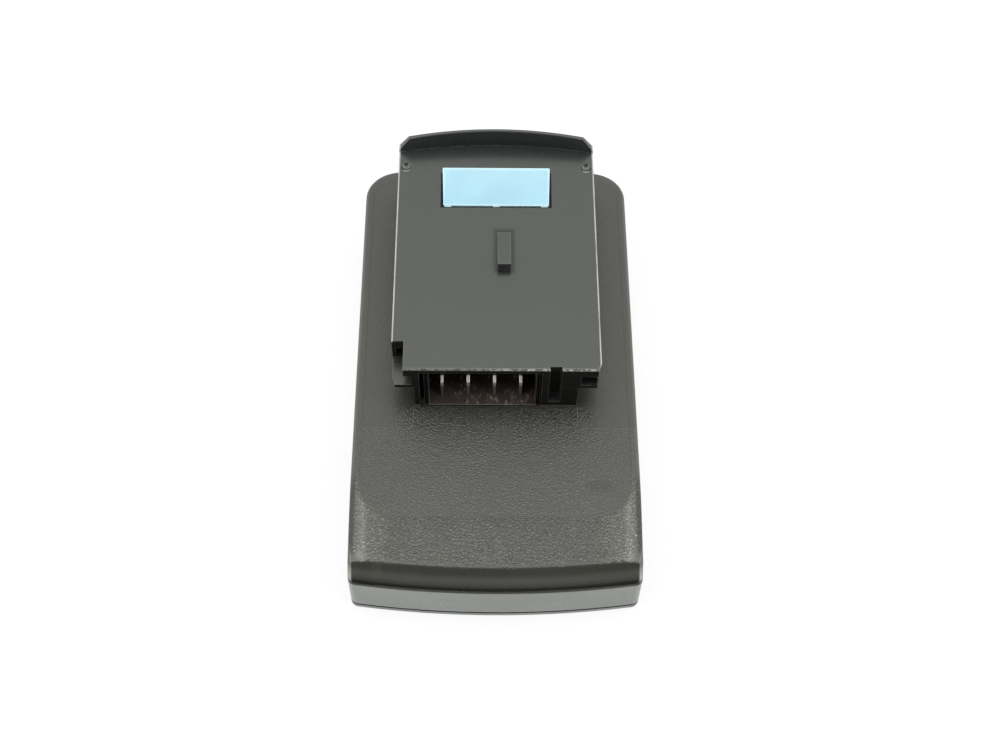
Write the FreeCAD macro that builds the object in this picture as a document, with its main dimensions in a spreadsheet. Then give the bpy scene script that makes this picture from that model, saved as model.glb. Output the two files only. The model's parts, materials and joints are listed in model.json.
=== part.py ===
import FreeCAD, Part

import math
import os

import Sketcher
from FreeCAD import Placement, Rotation, Vector

# Slide-on battery pack for a cordless tool, in millimetres.
# The origin is the middle of the footprint, on the floor. The terminals face -Y and the latch is at +Y.
# The nose is the terminal end of the low body, and the tail is the latch end.

doc = FreeCAD.newDocument("slide_battery_pack")
sheet = doc.addObject("Spreadsheet::Sheet", "Sizes")

DRIVING_SIZES = (
    # Low body
    ("body_width", "78"),
    ("body_length", "139"),
    ("body_height", "23"),
    ("wall", "2"),
    ("nose_bow", "280"),
    ("tail_bow", "160"),
    ("nose_corner", "2.2"),
    ("tail_corner", "10.4"),
    ("nose_wall_drop", "7.7"),
    ("shoulder_drop", "3.4"),
    ("shoulder_setback", "5.2"),
    ("plateau_front", "18.6"),
    ("plateau_side", "2.3"),
    ("plateau_tail", "5.5"),
    ("plateau_front_corner", "10"),
    ("plateau_tail_corner", "6"),
    ("rim_radius", "1.5"),
    # Bottom cover and its seam
    ("seam_height", "2.5"),
    ("seam_gap", "0.45"),
    ("cover_inset", "0"),
    ("cover_floor", "1.8"),
    ("cover_edge_radius", "0.5"),
    ("tongue_height", "2.4"),
    ("tongue_wall", "1.2"),
    ("tongue_gap", "0.2"),
    ("cover_pad_radius", "3.4"),
    ("cover_boss_radius", "3"),
    ("nose_screw_inset", "6.7"),
    ("nose_screw_setback", "7.6"),
    ("tail_screw_inset", "10.2"),
    ("tail_screw_setback", "8.6"),
    # Tower and slide plate
    ("tower_setback", "76.8"),
    ("tower_width", "44.6"),
    ("tower_wall", "2.4"),
    ("plate_rise", "19"),
    ("plate_width", "56.4"),
    ("plate_thickness", "1.9"),
    ("plate_overhang", "0.2"),
    ("plate_edge_radius", "0.6"),
    ("plate_corner_x", "0.8"),
    ("plate_corner_y", "2.4"),
    ("rail_height", "9.2"),
    ("rail_floor", "1.4"),
    ("rail_roof", "3.6"),
    ("rail_wall", "1"),
    ("rail_web", "0.6"),
    ("rail_hollow_depth", "66"),
    ("notch_width", "3.3"),
    ("notch_depth", "9"),
    # Stop lip at the back of the plate
    ("lip_setback", "9.6"),
    ("lip_bow", "152.5"),
    ("lip_thickness", "2"),
    ("lip_top_thickness", "1"),
    ("lip_height", "6.25"),
    ("lip_edge_radius", "0.4"),
    ("lip_crown", "1.15"),
    ("lip_end_step", "1"),
    ("lip_end_slope", "2.9"),
    # Wedge rib and dimples on the plate
    ("rib_left", "0.4"),
    ("rib_width", "3.7"),
    ("rib_setback", "32.5"),
    ("rib_length", "13.1"),
    ("rib_height", "2.8"),
    ("dimple_x", "26"),
    ("dimple_lip_gap", "8.3"),
    ("dimple_radius", "1.6"),
    ("dimple_depth", "1"),
    # Terminal cavity, key slot and terminal block
    ("cavity_width", "33.1"),
    ("cavity_middle_x", "-4.15"),
    ("cavity_depth", "17"),
    ("cavity_side_wall", "2"),
    ("block_gap", "0.3"),
    ("block_left_gap", "1.2"),
    ("block_wall", "1.2"),
    ("block_back", "1.9"),
    ("block_floor", "2.2"),
    ("block_floor_rise", "0.4"),
    ("key_width", "3.2"),
    ("key_depth", "3.1"),
    ("key_notch_depth", "0.9"),
    ("key_floor_rise", "2.1"),
    ("key_block_depth", "4.3"),
    # Terminal blades
    ("blade_pitch", "7.2"),
    ("blade_thickness", "0.8"),
    ("blade_middle_x", "-3.95"),
    ("blade_setback", "2.9"),
    ("blade_height", "8.5"),
    ("blade_tip", "1.4"),
    ("blade_gap", "0.1"),
    ("blade_tail_length", "2"),
    ("blade_tail_gap", "2.2"),
    ("blade_board_gap", "0.2"),
    ("blade_tail_below_board", "0.9"),
    # Circuit board and what is on it
    ("board_gap", "0.5"),
    ("board_length", "26.6"),
    ("board_thickness", "1.6"),
    ("board_rise", "1"),
    ("board_screw_x", "16.6"),
    ("board_screw_front", "7"),
    ("board_screw_rear", "3.2"),
    ("transistor_width", "10.2"),
    ("transistor_length", "9.2"),
    ("transistor_height", "4.4"),
    ("transistor_spacing", "1.6"),
    ("transistor_gap", "5.4"),
    ("capacitor_radius", "3.8"),
    ("capacitor_height", "11.5"),
    ("capacitor_x", "7"),
    ("rear_row_margin", "3.9"),
    ("chip_side", "7"),
    ("chip_height", "1.2"),
    ("chip_x", "5"),
    ("shunt_length", "6.3"),
    ("shunt_width", "3.2"),
    ("shunt_height", "0.8"),
    ("shunt_gap", "1.4"),
    ("shunt_setback", "6.8"),
    ("connector_width", "4.8"),
    ("connector_length", "10.4"),
    ("connector_height", "5.4"),
    ("connector_margin", "2.4"),
    ("thermistor_radius", "1.2"),
    ("thermistor_length", "1.8"),
    ("thermistor_drop", "1.4"),
    ("thermistor_setback", "4.2"),
    ("lead_width", "0.6"),
    ("resistor_length", "1.6"),
    ("resistor_width", "0.8"),
    ("resistor_height", "0.6"),
    ("resistor_pitch", "3.6"),
    ("resistor_setback", "2.8"),
    # Latch, its springs and their retainer
    ("window_width", "31.1"),
    ("window_taper", "0.35"),
    ("window_corner", "0.3"),
    ("window_lip_gap", "22.6"),
    ("window_length", "12.1"),
    ("catch_gap", "0.2"),
    ("catch_front_gap", "0.45"),
    ("catch_rise", "2.8"),
    ("nub_width", "1.9"),
    ("nub_length", "0.35"),
    ("latch_travel", "4.5"),
    ("latch_stop_gap", "0.1"),
    ("latch_flange", "1.8"),
    ("latch_flange_margin", "1.5"),
    ("latch_side_gap", "0.4"),
    ("latch_body_height", "5"),
    ("latch_body_width", "31"),
    ("latch_body_inset", "1"),
    ("guide_rib", "2.7"),
    ("guide_rib_width", "4"),
    ("guide_rib_drop", "11"),
    ("guide_gap", "0.3"),
    ("arm_width", "26"),
    ("arm_height", "3.5"),
    ("skirt_width", "29.2"),
    ("skirt_thickness", "1.7"),
    ("skirt_overlap", "1"),
    ("button_width", "25.6"),
    ("button_height", "10"),
    ("button_top_rise", "0.4"),
    ("button_proud", "1.6"),
    ("button_ledge", "1.2"),
    ("button_ledge_height", "1.6"),
    ("button_gap", "0.3"),
    ("retainer_thickness", "2"),
    ("retainer_drop", "15.7"),
    ("retainer_gap", "0.8"),
    ("retainer_length", "27"),
    ("retainer_screw_x", "17.3"),
    ("retainer_screw_margin", "2.8"),
    ("spring_x", "10"),
    ("spring_radius", "3"),
    ("spring_wire", "0.7"),
    ("spring_pocket_gap", "0.4"),
    ("spring_pocket_depth", "4"),
    ("spring_peg_radius", "1.9"),
    ("spring_peg_height", "3"),
    # Screws
    ("small_boss_radius", "2.5"),
    ("small_screw_radius", "1.1"),
    ("small_screw_length", "7"),
    ("small_head_radius", "2.1"),
    ("small_head_height", "1.5"),
    ("cover_screw_radius", "1.5"),
    ("cover_screw_length", "10"),
    ("cover_head_radius", "2.7"),
    ("cover_head_height", "2"),
    ("cover_head_recess", "0.4"),
    ("socket_depth", "0.9"),
    ("screw_gap", "0.03"),
    ("clearance_hole_gap", "0.2"),
    # Cells and their holders
    ("cell_side_room", "4.5"),
    ("cell_floor_gap", "0.3"),
    ("cell_roof_gap", "0.6"),
    ("cell_spacing", "0.7"),
    ("cell_row_margin", "21.5"),
    ("cell_row_shift", "0.8"),
    ("button_terminal_radius", "3.6"),
    ("button_terminal_height", "0.6"),
    ("ring_thickness", "0.15"),
    ("bore_gap", "0.1"),
    ("holder_depth", "8.7"),
    ("holder_end_gap", "0.2"),
    ("holder_end_wall", "1.1"),
    ("holder_margin", "0.65"),
    ("holder_window_rim", "3.15"),
    ("holder_floor_gap", "1.4"),
    ("holder_roof_gap", "3"),
    ("link_thickness", "0.2"),
    ("link_width", "9"),
    ("link_overlap", "4.2"),
    ("weld_dimple_radius", "3.2"),
    ("weld_gap", "0.05"),
    ("strap_width", "5"),
    ("strap_offset", "4.3"),
    ("strap_lift", "0.15"),
    ("strap_inner_x", "6"),
    ("strap_riser_margin", "5.5"),
    ("flex_thickness", "0.12"),
    ("flex_width", "4"),
    ("flex_x", "24"),
    ("left_branch_margin", "5.1"),
    ("left_branch_x", "10"),
    ("right_branch_margin", "15.7"),
    ("right_branch_x", "12"),
    ("sheet_thickness", "0.3"),
    ("sheet_gap", "0.05"),
    # Crush ribs and foam pads
    ("crush_rib_gap", "0.3"),
    ("crush_rib_thickness", "1.2"),
    ("foam_gap", "0.3"),
    ("foam_side_gap", "0.5"),
    ("front_foam_roof_gap", "3.3"),
    ("rear_foam_roof_gap", "4.5"),
)


class Size:
    """A length that knows the formula which binds it to the sheet, and its value now."""

    def __init__(self, formula, value):
        self.formula = formula
        self.value = value

    def __add__(self, other):
        other = as_size(other)
        return Size(f"({self.formula} + {other.formula})", self.value + other.value)

    def __radd__(self, other):
        return as_size(other) + self

    def __sub__(self, other):
        other = as_size(other)
        return Size(f"({self.formula} - {other.formula})", self.value - other.value)

    def __rsub__(self, other):
        return as_size(other) - self

    def __mul__(self, other):
        other = as_size(other)
        return Size(f"({self.formula} * {other.formula})", self.value * other.value)

    def __rmul__(self, other):
        return as_size(other) * self

    def __truediv__(self, other):
        other = as_size(other)
        return Size(f"({self.formula} / {other.formula})", self.value / other.value)

    def __neg__(self):
        return Size(f"(0 - {self.formula})", -self.value)


def as_size(number):
    """A Size as it is, or a plain number as a Size."""
    if isinstance(number, Size):
        return number
    return Size(repr(number), float(number))


def root(size):
    """The square root of a Size."""
    return Size(f"sqrt({size.formula})", math.sqrt(size.value))


# The sheet: one row for each driving size, with its name beside it
for row, (alias, text) in enumerate(DRIVING_SIZES, start=1):
    sheet.set(f"A{row}", alias)
    sheet.set(f"B{row}", text)
    sheet.setAlias(f"B{row}", alias)
doc.recompute()

size = {alias: Size(f"Sizes.{alias}", float(text)) for alias, text in DRIVING_SIZES}
NODES = {}


# Helpers

def bind(item, setting, amount):
    """Ties one setting of an object to the sheet."""
    item.setExpression(setting, as_size(amount).formula)


def node(name, item):
    """Makes an object one of the part's named pieces."""
    item.Label = name
    NODES[name] = item
    return item


def box(name, x, y, z):
    """A box between a low and a high value on each axis."""
    item = doc.addObject("Part::Box", name)
    for axis, side, span in (("x", "Length", x), ("y", "Width", y), ("z", "Height", z)):
        bind(item, side, as_size(span[1]) - span[0])
        bind(item, f"Placement.Base.{axis}", span[0])
    return item


def cylinder(name, radius, x, y, z):
    """A cylinder along the axis whose value is a pair."""
    item = doc.addObject("Part::Cylinder", name)
    bind(item, "Radius", radius)
    place = {"x": x, "y": y, "z": z}
    for axis, turn in (("x", Rotation(Vector(0, 1, 0), 90)), ("y", Rotation(Vector(1, 0, 0), -90)), ("z", Rotation())):
        if isinstance(place[axis], tuple):
            low, high = place[axis]
            item.Placement = Placement(Vector(), turn)
            bind(item, "Height", as_size(high) - low)
            place[axis] = low
            break
    for axis, amount in place.items():
        bind(item, f"Placement.Base.{axis}", amount)
    return item


def fuse(name, items):
    """One shape from several."""
    item = doc.addObject("Part::MultiFuse", name)
    item.Shapes = items
    item.Refine = True
    return item


def cut(name, base, tool):
    """The base without the tool, or without several tools."""
    item = doc.addObject("Part::Cut", name)
    item.Base = base
    item.Tool = fuse(name + "_tools", tool) if isinstance(tool, list) else tool
    item.Refine = True
    return item


def common(name, items):
    """What several shapes share."""
    item = doc.addObject("Part::MultiCommon", name)
    item.Shapes = items
    item.Refine = True
    return item


def group(name, items):
    """Identical pieces under one name, as separate solids."""
    item = doc.addObject("Part::Compound", name)
    item.Links = items
    return node(name, item)


VIEWS = {
    "XY": Rotation(),
    "XZ": Rotation(Vector(1, 0, 0), Vector(0, 0, 1), Vector(0, -1, 0), "ZXY"),
    "YZ": Rotation(Vector(0, 1, 0), Vector(0, 0, 1), Vector(1, 0, 0), "ZXY"),
}
NORMALS = {"XY": ("z", 1), "XZ": ("y", -1), "YZ": ("x", 1)}


def free_sketch(name, view, level):
    """A sketch that stands by itself, in a plane of that view at that level."""
    item = doc.addObject("Sketcher::SketchObject", name)
    item.Placement = Placement(Vector(), VIEWS[view])
    bind(item, f"Placement.Base.{NORMALS[view][0]}", level)
    return item


def body_sketch(body, name, view, level):
    """A sketch on one of the body's own planes, moved along the plane's normal to that level."""
    item = body.newObject("Sketcher::SketchObject", name)
    plane = [feature for feature in body.Origin.OriginFeatures if feature.Role == view + "_Plane"][0]
    item.AttachmentSupport = [(plane, "")]
    item.MapMode = "FlatFace"
    bind(item, "AttachmentOffset.Base.z", as_size(level) * NORMALS[view][1])
    return item


def fix(sketch, kind, target, amount):
    """A named, bound dimension in a sketch."""
    index = sketch.addConstraint(Sketcher.Constraint(kind, *target, as_size(amount).value))
    sketch.renameConstraint(index, f"size_{index}")
    bind(sketch, f"Constraints.size_{index}", amount)


def draw_polygon(sketch, points):
    """A closed outline of straight lines through bound points."""
    count = len(points)
    ends = [Vector(as_size(x).value, as_size(y).value, 0) for x, y in points]
    for index in range(count):
        sketch.addGeometry(Part.LineSegment(ends[index], ends[(index + 1) % count]))
    for index, (x, y) in enumerate(points):
        sketch.addConstraint(Sketcher.Constraint("Coincident", index, 2, (index + 1) % count, 1))
        fix(sketch, "DistanceX", (-1, 1, index, 1), x)
        fix(sketch, "DistanceY", (-1, 1, index, 1), y)
    return sketch


def draw_circles(sketch, radius, centres):
    """Circles of one radius at bound centres."""
    for index, (x, y) in enumerate(centres):
        centre = Vector(as_size(x).value, as_size(y).value, 0)
        sketch.addGeometry(Part.Circle(centre, Vector(0, 0, 1), radius.value))
        fix(sketch, "Radius", (index,), radius)
        fix(sketch, "DistanceX", (-1, 1, index, 3), x)
        fix(sketch, "DistanceY", (-1, 1, index, 3), y)
    return sketch


def draw_footprint(sketch, inset, front_corner, tail_corner, inset_front=None, inset_tail=None):
    """The body's outline from above, drawn inwards from its own: bowed nose and tail, straight sides."""
    half = half_width - inset
    front_radius = size["nose_bow"] - (inset if inset_front is None else inset_front)
    tail_radius = size["tail_bow"] - (inset if inset_tail is None else inset_tail)
    front_middle = nose_y + size["nose_bow"]
    tail_middle = tail_y - size["tail_bow"]

    # Where each corner's arc is centred, so that it touches the bow and the side
    front_reach = root((front_radius - front_corner) * (front_radius - front_corner)
                       - (half - front_corner) * (half - front_corner))
    tail_reach = root((tail_radius - tail_corner) * (tail_radius - tail_corner)
                      - (half - tail_corner) * (half - tail_corner))
    front_centre = (half.value - front_corner.value, front_middle.value - front_reach.value)
    tail_centre = (half.value - tail_corner.value, tail_middle.value + tail_reach.value)
    front_turn = math.atan2(front_centre[0], front_reach.value)
    tail_turn = math.atan2(tail_centre[0], tail_reach.value)

    def arc(x, y, radius, start, end):
        circle = Part.Circle(Vector(x, y, 0), Vector(0, 0, 1), radius.value)
        sketch.addGeometry(Part.ArcOfCircle(circle, start, end))

    down, up, side = -math.pi / 2, math.pi / 2, half.value
    arc(0, front_middle.value, front_radius, down - front_turn, down + front_turn)
    arc(front_centre[0], front_centre[1], front_corner, down + front_turn, 0)
    sketch.addGeometry(Part.LineSegment(Vector(side, front_centre[1], 0), Vector(side, tail_centre[1], 0)))
    arc(tail_centre[0], tail_centre[1], tail_corner, 0, up - tail_turn)
    arc(0, tail_middle.value, tail_radius, up - tail_turn, up + tail_turn)
    arc(-tail_centre[0], tail_centre[1], tail_corner, up + tail_turn, math.pi)
    sketch.addGeometry(Part.LineSegment(Vector(-side, tail_centre[1], 0), Vector(-side, front_centre[1], 0)))
    arc(-front_centre[0], front_centre[1], front_corner, math.pi, down - front_turn + 2 * math.pi)

    last = 7
    for index in range(last + 1):
        sketch.addConstraint(Sketcher.Constraint("Tangent", index, 2, (index + 1) % (last + 1), 1))
    for index, radius in ((0, front_radius), (1, front_corner), (3, tail_corner), (4, tail_radius),
                          (5, tail_corner), (last, front_corner)):
        fix(sketch, "Radius", (index,), radius)
    for index, middle in ((0, front_middle), (4, tail_middle)):
        sketch.addConstraint(Sketcher.Constraint("PointOnObject", index, 3, -2))
        fix(sketch, "DistanceY", (-1, 1, index, 3), middle)
    fix(sketch, "DistanceX", (-1, 1, 2, 1), half)
    fix(sketch, "DistanceX", (-1, 1, 6, 1), -half)
    return sketch


def extrude(name, sketch, length):
    """A sketch pulled along its normal."""
    item = doc.addObject("Part::Extrusion", name)
    item.Base = sketch
    item.DirMode = "Normal"
    item.Solid = True
    bind(item, "LengthFwd", length)
    return item


def prism(name, view, span, points):
    """A polygon pulled between two levels along its view's normal."""
    axis, sense = NORMALS[view]
    start = span[0] if sense > 0 else span[1]
    sketch = draw_polygon(free_sketch(name + "_outline", view, start), points)
    return extrude(name, sketch, as_size(span[1]) - span[0])


def round_body_edges(body, name, feature, radius, wanted):
    """Rounds the edges of a body's last feature that a test picks."""
    doc.recompute()
    item = body.newObject("PartDesign::Fillet", name)
    picked = [f"Edge{index}" for index, edge in enumerate(feature.Shape.Edges, start=1) if wanted(edge)]
    item.Base = (feature, picked)
    bind(item, "Radius", radius)
    return item


def new_body(name):
    """A body that is one of the part's named pieces."""
    return node(name, doc.addObject("PartDesign::Body", name))


def pad(body, name, sketch, length):
    """Material added along the sketch's normal."""
    item = body.newObject("PartDesign::Pad", name)
    item.Profile = sketch
    bind(item, "Length", length)
    return item


def pocket(body, name, sketch, length):
    """Material taken away along the sketch's normal, so the body must lose volume."""
    doc.recompute()
    before = body.Shape.Volume
    item = body.newObject("PartDesign::Pocket", name)
    item.Profile = sketch
    item.Reversed = True
    bind(item, "Length", length)
    doc.recompute()
    if body.Shape.Volume >= before:
        raise ValueError(f"{name} cuts nothing")
    return item


def repeat_along_y(body, name, feature, count, pitch):
    """Copies of a feature in a row along Y."""
    item = body.newObject("PartDesign::LinearPattern", name)
    item.Originals = [feature]
    axis = [line for line in body.Origin.OriginFeatures if line.Role == "Y_Axis"][0]
    item.Direction = (axis, [""])
    item.Mode = "Spacing"
    item.Occurrences = count
    bind(item, "Offset", pitch)
    body.Tip = item
    return item


# Places that several pieces share

half_width = size["body_width"] / 2
nose_y = -size["body_length"] / 2
tail_y = size["body_length"] / 2
nose_wall_height = size["body_height"] - size["nose_wall_drop"]
shoulder_height = size["body_height"] - size["shoulder_drop"]
roof_slope = size["shoulder_drop"] / (size["plateau_front"] - size["shoulder_setback"])
bevel_slope = (shoulder_height - nose_wall_height) / size["shoulder_setback"]
roof_underside = size["body_height"] - size["wall"]

lip_inner_y = tail_y - size["lip_setback"]
lip_outer_y = lip_inner_y + size["lip_thickness"]
lip_middle = lip_inner_y - size["lip_bow"]
lip_outer_bow = size["lip_bow"] + size["lip_thickness"]

tower_front = lip_inner_y - size["tower_setback"]
tower_half = size["tower_width"] / 2
tower_inner = tower_half - size["tower_wall"]
plate_front = tower_front - size["plate_overhang"]
plate_half = size["plate_width"] / 2
plate_top = size["body_height"] + size["plate_rise"]
plate_underside = plate_top - size["plate_thickness"]
rail_bottom = plate_top - size["rail_height"]
rail_floor_top = rail_bottom + size["rail_floor"]
rail_hollow_top = plate_top - size["rail_roof"]
rail_inner = tower_half + size["rail_web"]

cavity_left = size["cavity_middle_x"] - size["cavity_width"] / 2
cavity_right = size["cavity_middle_x"] + size["cavity_width"] / 2
block_back_y = tower_front + size["cavity_depth"]
block_end = block_back_y + size["block_back"]
block_top = size["body_height"] + size["block_floor_rise"]
block_bottom = block_top - size["block_floor"]
key_left = cavity_right + size["cavity_side_wall"]

board_bottom = size["body_height"] + size["board_rise"]
board_top = board_bottom + size["board_thickness"]
board_front = block_end + size["board_gap"]
board_rear = board_front + size["board_length"]
board_half = tower_inner - size["board_gap"]
board_screws = [(x, y) for x in (-size["board_screw_x"], size["board_screw_x"])
                for y in (board_front + size["board_screw_front"], board_rear - size["board_screw_rear"])]

retainer_top = plate_underside - size["retainer_drop"]
retainer_bottom = retainer_top - size["retainer_thickness"]
retainer_front = board_rear + size["retainer_gap"]
retainer_rear = retainer_front + size["retainer_length"]
retainer_screws = [(x, y) for x in (-size["retainer_screw_x"], size["retainer_screw_x"])
                   for y in (retainer_front + size["retainer_screw_margin"],
                             retainer_rear - size["retainer_screw_margin"])]

window_front = lip_inner_y - size["window_lip_gap"]
window_rear = window_front + size["window_length"]
catch_front = window_front + size["catch_front_gap"]
catch_rear = window_rear - size["catch_gap"]
flange_top = plate_underside - size["latch_stop_gap"]
flange_bottom = flange_top - size["latch_flange"]
flange_front = window_front - size["latch_flange_margin"]
flange_rear = window_rear + size["latch_flange_margin"]
latch_body_bottom = flange_bottom - size["latch_body_height"]
latch_middle_y = (flange_front + flange_rear) / 2
spring_top = latch_body_bottom + size["spring_pocket_depth"]
button_top = flange_bottom + size["button_top_rise"]
button_bottom = button_top - size["button_height"]

cover_top = size["seam_height"] - size["seam_gap"]
tongue_top = size["cover_floor"] + size["tongue_height"]

# The cells fill the body between its walls, floor and roof, as many pairs as its length holds
cell_bottom = size["cover_floor"] + size["cell_floor_gap"]
cell_radius = (roof_underside - size["cell_roof_gap"] - cell_bottom) / 2
cell_pitch = cell_radius * 2 + size["cell_spacing"]
cell_z = cell_bottom + cell_radius
cell_row = size["body_length"] - size["cell_row_margin"] * 2
CELL_COUNT = 2 * math.floor((cell_row.value / cell_pitch.value + 1) / 2)
first_cell_y = -cell_pitch * ((CELL_COUNT - 1) / 2) - size["cell_row_shift"]
cell_ys = [first_cell_y + cell_pitch * index for index in range(CELL_COUNT)]
cell_end = half_width - size["wall"] - size["cell_side_room"]
holder_wall_inner = cell_end + size["holder_end_gap"]
holder_outer = holder_wall_inner + size["holder_end_wall"]
holder_reach = cell_radius + size["bore_gap"] + size["holder_margin"]
holder_front = first_cell_y - holder_reach
holder_rear = cell_ys[-1] + holder_reach
holder_bottom = size["cover_floor"] + size["holder_floor_gap"]
holder_top = roof_underside - size["holder_roof_gap"]
link_outer = holder_outer + size["link_thickness"]
flex_tab_outer = link_outer + size["flex_thickness"]
sheet_inner = flex_tab_outer + size["sheet_gap"]
sheet_outer = sheet_inner + size["sheet_thickness"]
strap_bottom = cell_z + cell_radius + size["strap_lift"]
strap_top = strap_bottom + size["link_thickness"]
nose_screw_x = half_width - size["nose_screw_inset"]
tail_screw_x = half_width - size["tail_screw_inset"]
cover_screws = [(x, y) for x, y in (
    (-nose_screw_x, nose_y + size["nose_screw_setback"]),
    (nose_screw_x, nose_y + size["nose_screw_setback"]),
    (-tail_screw_x, tail_y - size["tail_screw_setback"]),
    (tail_screw_x, tail_y - size["tail_screw_setback"]))]


# Top housing

def body_form(name, inset, bottom):
    """The low body's solid, drawn in by an inset: bowed footprint, flat plateau, sloping roof and bevelled nose."""
    footprint = draw_footprint(free_sketch(name + "_footprint", "XY", bottom), inset,
                               size["nose_corner"], size["tail_corner"] - inset)
    walls = extrude(name + "_walls", footprint, size["body_height"] - bottom)

    # The roof falls away from the plateau at one slope all round, down to the floor
    def roof_outline(part, spread, level):
        outline = free_sketch(name + part, "XY", level)
        half = half_width - size["plateau_side"] + spread
        front = size["plateau_front"] - spread
        tail = size["plateau_tail"] - spread
        return draw_footprint(outline, half_width - half, size["plateau_front_corner"] + spread,
                              size["plateau_tail_corner"] + spread, front, tail)

    height = size["body_height"] - inset
    plateau = roof_outline("_plateau", as_size(0), height)
    eaves = roof_outline("_eaves", height / roof_slope, as_size(0))
    roof = doc.addObject("Part::Loft", name + "_roof")
    roof.Sections = [plateau, eaves]
    roof.Solid = True
    roof.Ruled = True
    roofed = common(name + "_roofed", [walls, roof])

    # The bevel across the nose is turned about the middle of the nose's bow
    reach = size["plateau_front"]
    bevel_low = nose_wall_height - inset - inset * bevel_slope / 2
    section = free_sketch(name + "_bevel_section", "YZ", as_size(0))
    draw_polygon(section, [
        (nose_y + inset - reach, bevel_low - bevel_slope * reach),
        (nose_y + inset + reach, bevel_low + bevel_slope * reach),
        (nose_y + inset - reach, bevel_low + bevel_slope * reach)])
    ring = doc.addObject("Part::Revolution", name + "_bevel")
    ring.Source = section
    ring.Axis = Vector(0, 0, 1)
    ring.Solid = True
    ring.Symmetric = True
    ring.Angle = 60
    bind(ring, "Base.y", nose_y + size["nose_bow"])
    return cut(name + "_form", roofed, ring)


def bend_at(shape, edge):
    """The angle in degrees between the two faces that meet at an edge."""
    faces = [face for face in shape.Faces if any(edge.isSame(other) for other in face.Edges)]
    if len(faces) != 2:
        return 0
    middle = edge.valueAt((edge.FirstParameter + edge.LastParameter) / 2)
    normals = [face.normalAt(*face.Surface.parameter(middle)) for face in faces]
    return math.degrees(normals[0].getAngle(normals[1]))


def round_edges(name, base, radius, wanted):
    """Rounds the edges of a shape that a test picks."""
    doc.recompute()
    item = doc.addObject("Part::Fillet", name)
    item.Base = base
    item.Edges = [(index, radius.value, radius.value)
                  for index, edge in enumerate(base.Shape.Edges, start=1) if wanted(edge)]
    return item


def concentric(name, radius, z):
    """A disc about the middle of the lip's bow, so that its rim follows the lip."""
    return cylinder(name, radius, as_size(0), lip_middle, z)


# The shell of the low body, with its rim and bevel rounded
outer_form = body_form("housing_outer", as_size(0), size["seam_height"])
inner_form = body_form("housing_inner", size["wall"], as_size(0))
SHARPEST_SOFT_BEND = 20
rounded_form = round_edges(
    "housing_rounded", outer_form, size["rim_radius"],
    lambda edge: size["seam_height"].value + 1 < edge.BoundBox.ZMin < size["body_height"].value - 0.01
    and bend_at(outer_form.Shape, edge) > SHARPEST_SOFT_BEND)
body_shell = cut("housing_shell", rounded_form, inner_form)

# Tower, slide plate and end wall, all trimmed behind by the lip's bow
tower_block = box("tower_block", (-tower_half, tower_half), (tower_front, lip_outer_y),
                  (roof_underside, plate_underside))
plate_points = [
    (-plate_half + size["plate_corner_x"], plate_front), (plate_half - size["plate_corner_x"], plate_front),
    (plate_half, plate_front + size["plate_corner_y"]), (plate_half, lip_outer_y),
    (-plate_half, lip_outer_y), (-plate_half, plate_front + size["plate_corner_y"])]
plate_slab = prism("plate_slab", "XY", (rail_bottom, plate_top), plate_points)
plate_block = round_edges(
    "plate_block", plate_slab, size["plate_edge_radius"],
    lambda edge: edge.BoundBox.ZMin > plate_top.value - 0.01
    and edge.BoundBox.YMin < lip_outer_y.value - 0.01)
tower_mass = common("tower_mass", [
    fuse("tower_and_plate", [tower_block, plate_block]),
    concentric("tower_back_trim", lip_outer_bow, (as_size(0), plate_top + size["lip_height"]))])

lip_shoulder = plate_top + size["lip_height"] - size["lip_crown"]
lip_elevation = [
    (-plate_half, roof_underside), (plate_half, roof_underside),
    (plate_half, plate_top + size["lip_end_step"]),
    (plate_half - size["lip_end_slope"], lip_shoulder),
    (-plate_half + size["lip_end_slope"], lip_shoulder),
    (-plate_half, plate_top + size["lip_end_step"])]
lip_blank = prism("lip_blank", "XZ", (latch_middle_y, lip_outer_y), lip_elevation)
crown_half = plate_half - size["lip_end_slope"]
crown_bow = (crown_half * crown_half + size["lip_crown"] * size["lip_crown"]) / (2 * size["lip_crown"])
crown = cylinder("lip_crown", crown_bow, as_size(0), (latch_middle_y, lip_outer_y),
                 plate_top + size["lip_height"] - crown_bow)
crown_cap = common("lip_crown_cap", [crown, box(
    "lip_crown_room", (-crown_half, crown_half), (latch_middle_y, lip_outer_y),
    (roof_underside, plate_top + size["lip_height"]))])
lip_taper = doc.addObject("Part::Cone", "lip_taper")
bind(lip_taper, "Radius1", lip_outer_bow)
bind(lip_taper, "Radius2", size["lip_bow"] + size["lip_top_thickness"])
bind(lip_taper, "Height", size["lip_height"])
bind(lip_taper, "Placement.Base.y", lip_middle)
bind(lip_taper, "Placement.Base.z", plate_top)
lip_outside = fuse("lip_outside", [
    concentric("lip_outer_disc", lip_outer_bow, (as_size(0), plate_top)), lip_taper])
lip_band = cut("lip_band", lip_outside, concentric(
    "lip_inner_disc", size["lip_bow"], (as_size(0), plate_top + size["lip_height"])))
sharp_wall = common("sharp_wall", [fuse("lip_outline", [lip_blank, crown_cap]), lip_band])
end_wall = round_edges(
    "end_wall", sharp_wall, size["lip_edge_radius"],
    lambda edge: edge.BoundBox.ZMin > plate_top.value + 0.5
    and edge.Length > size["lip_thickness"].value)

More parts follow.
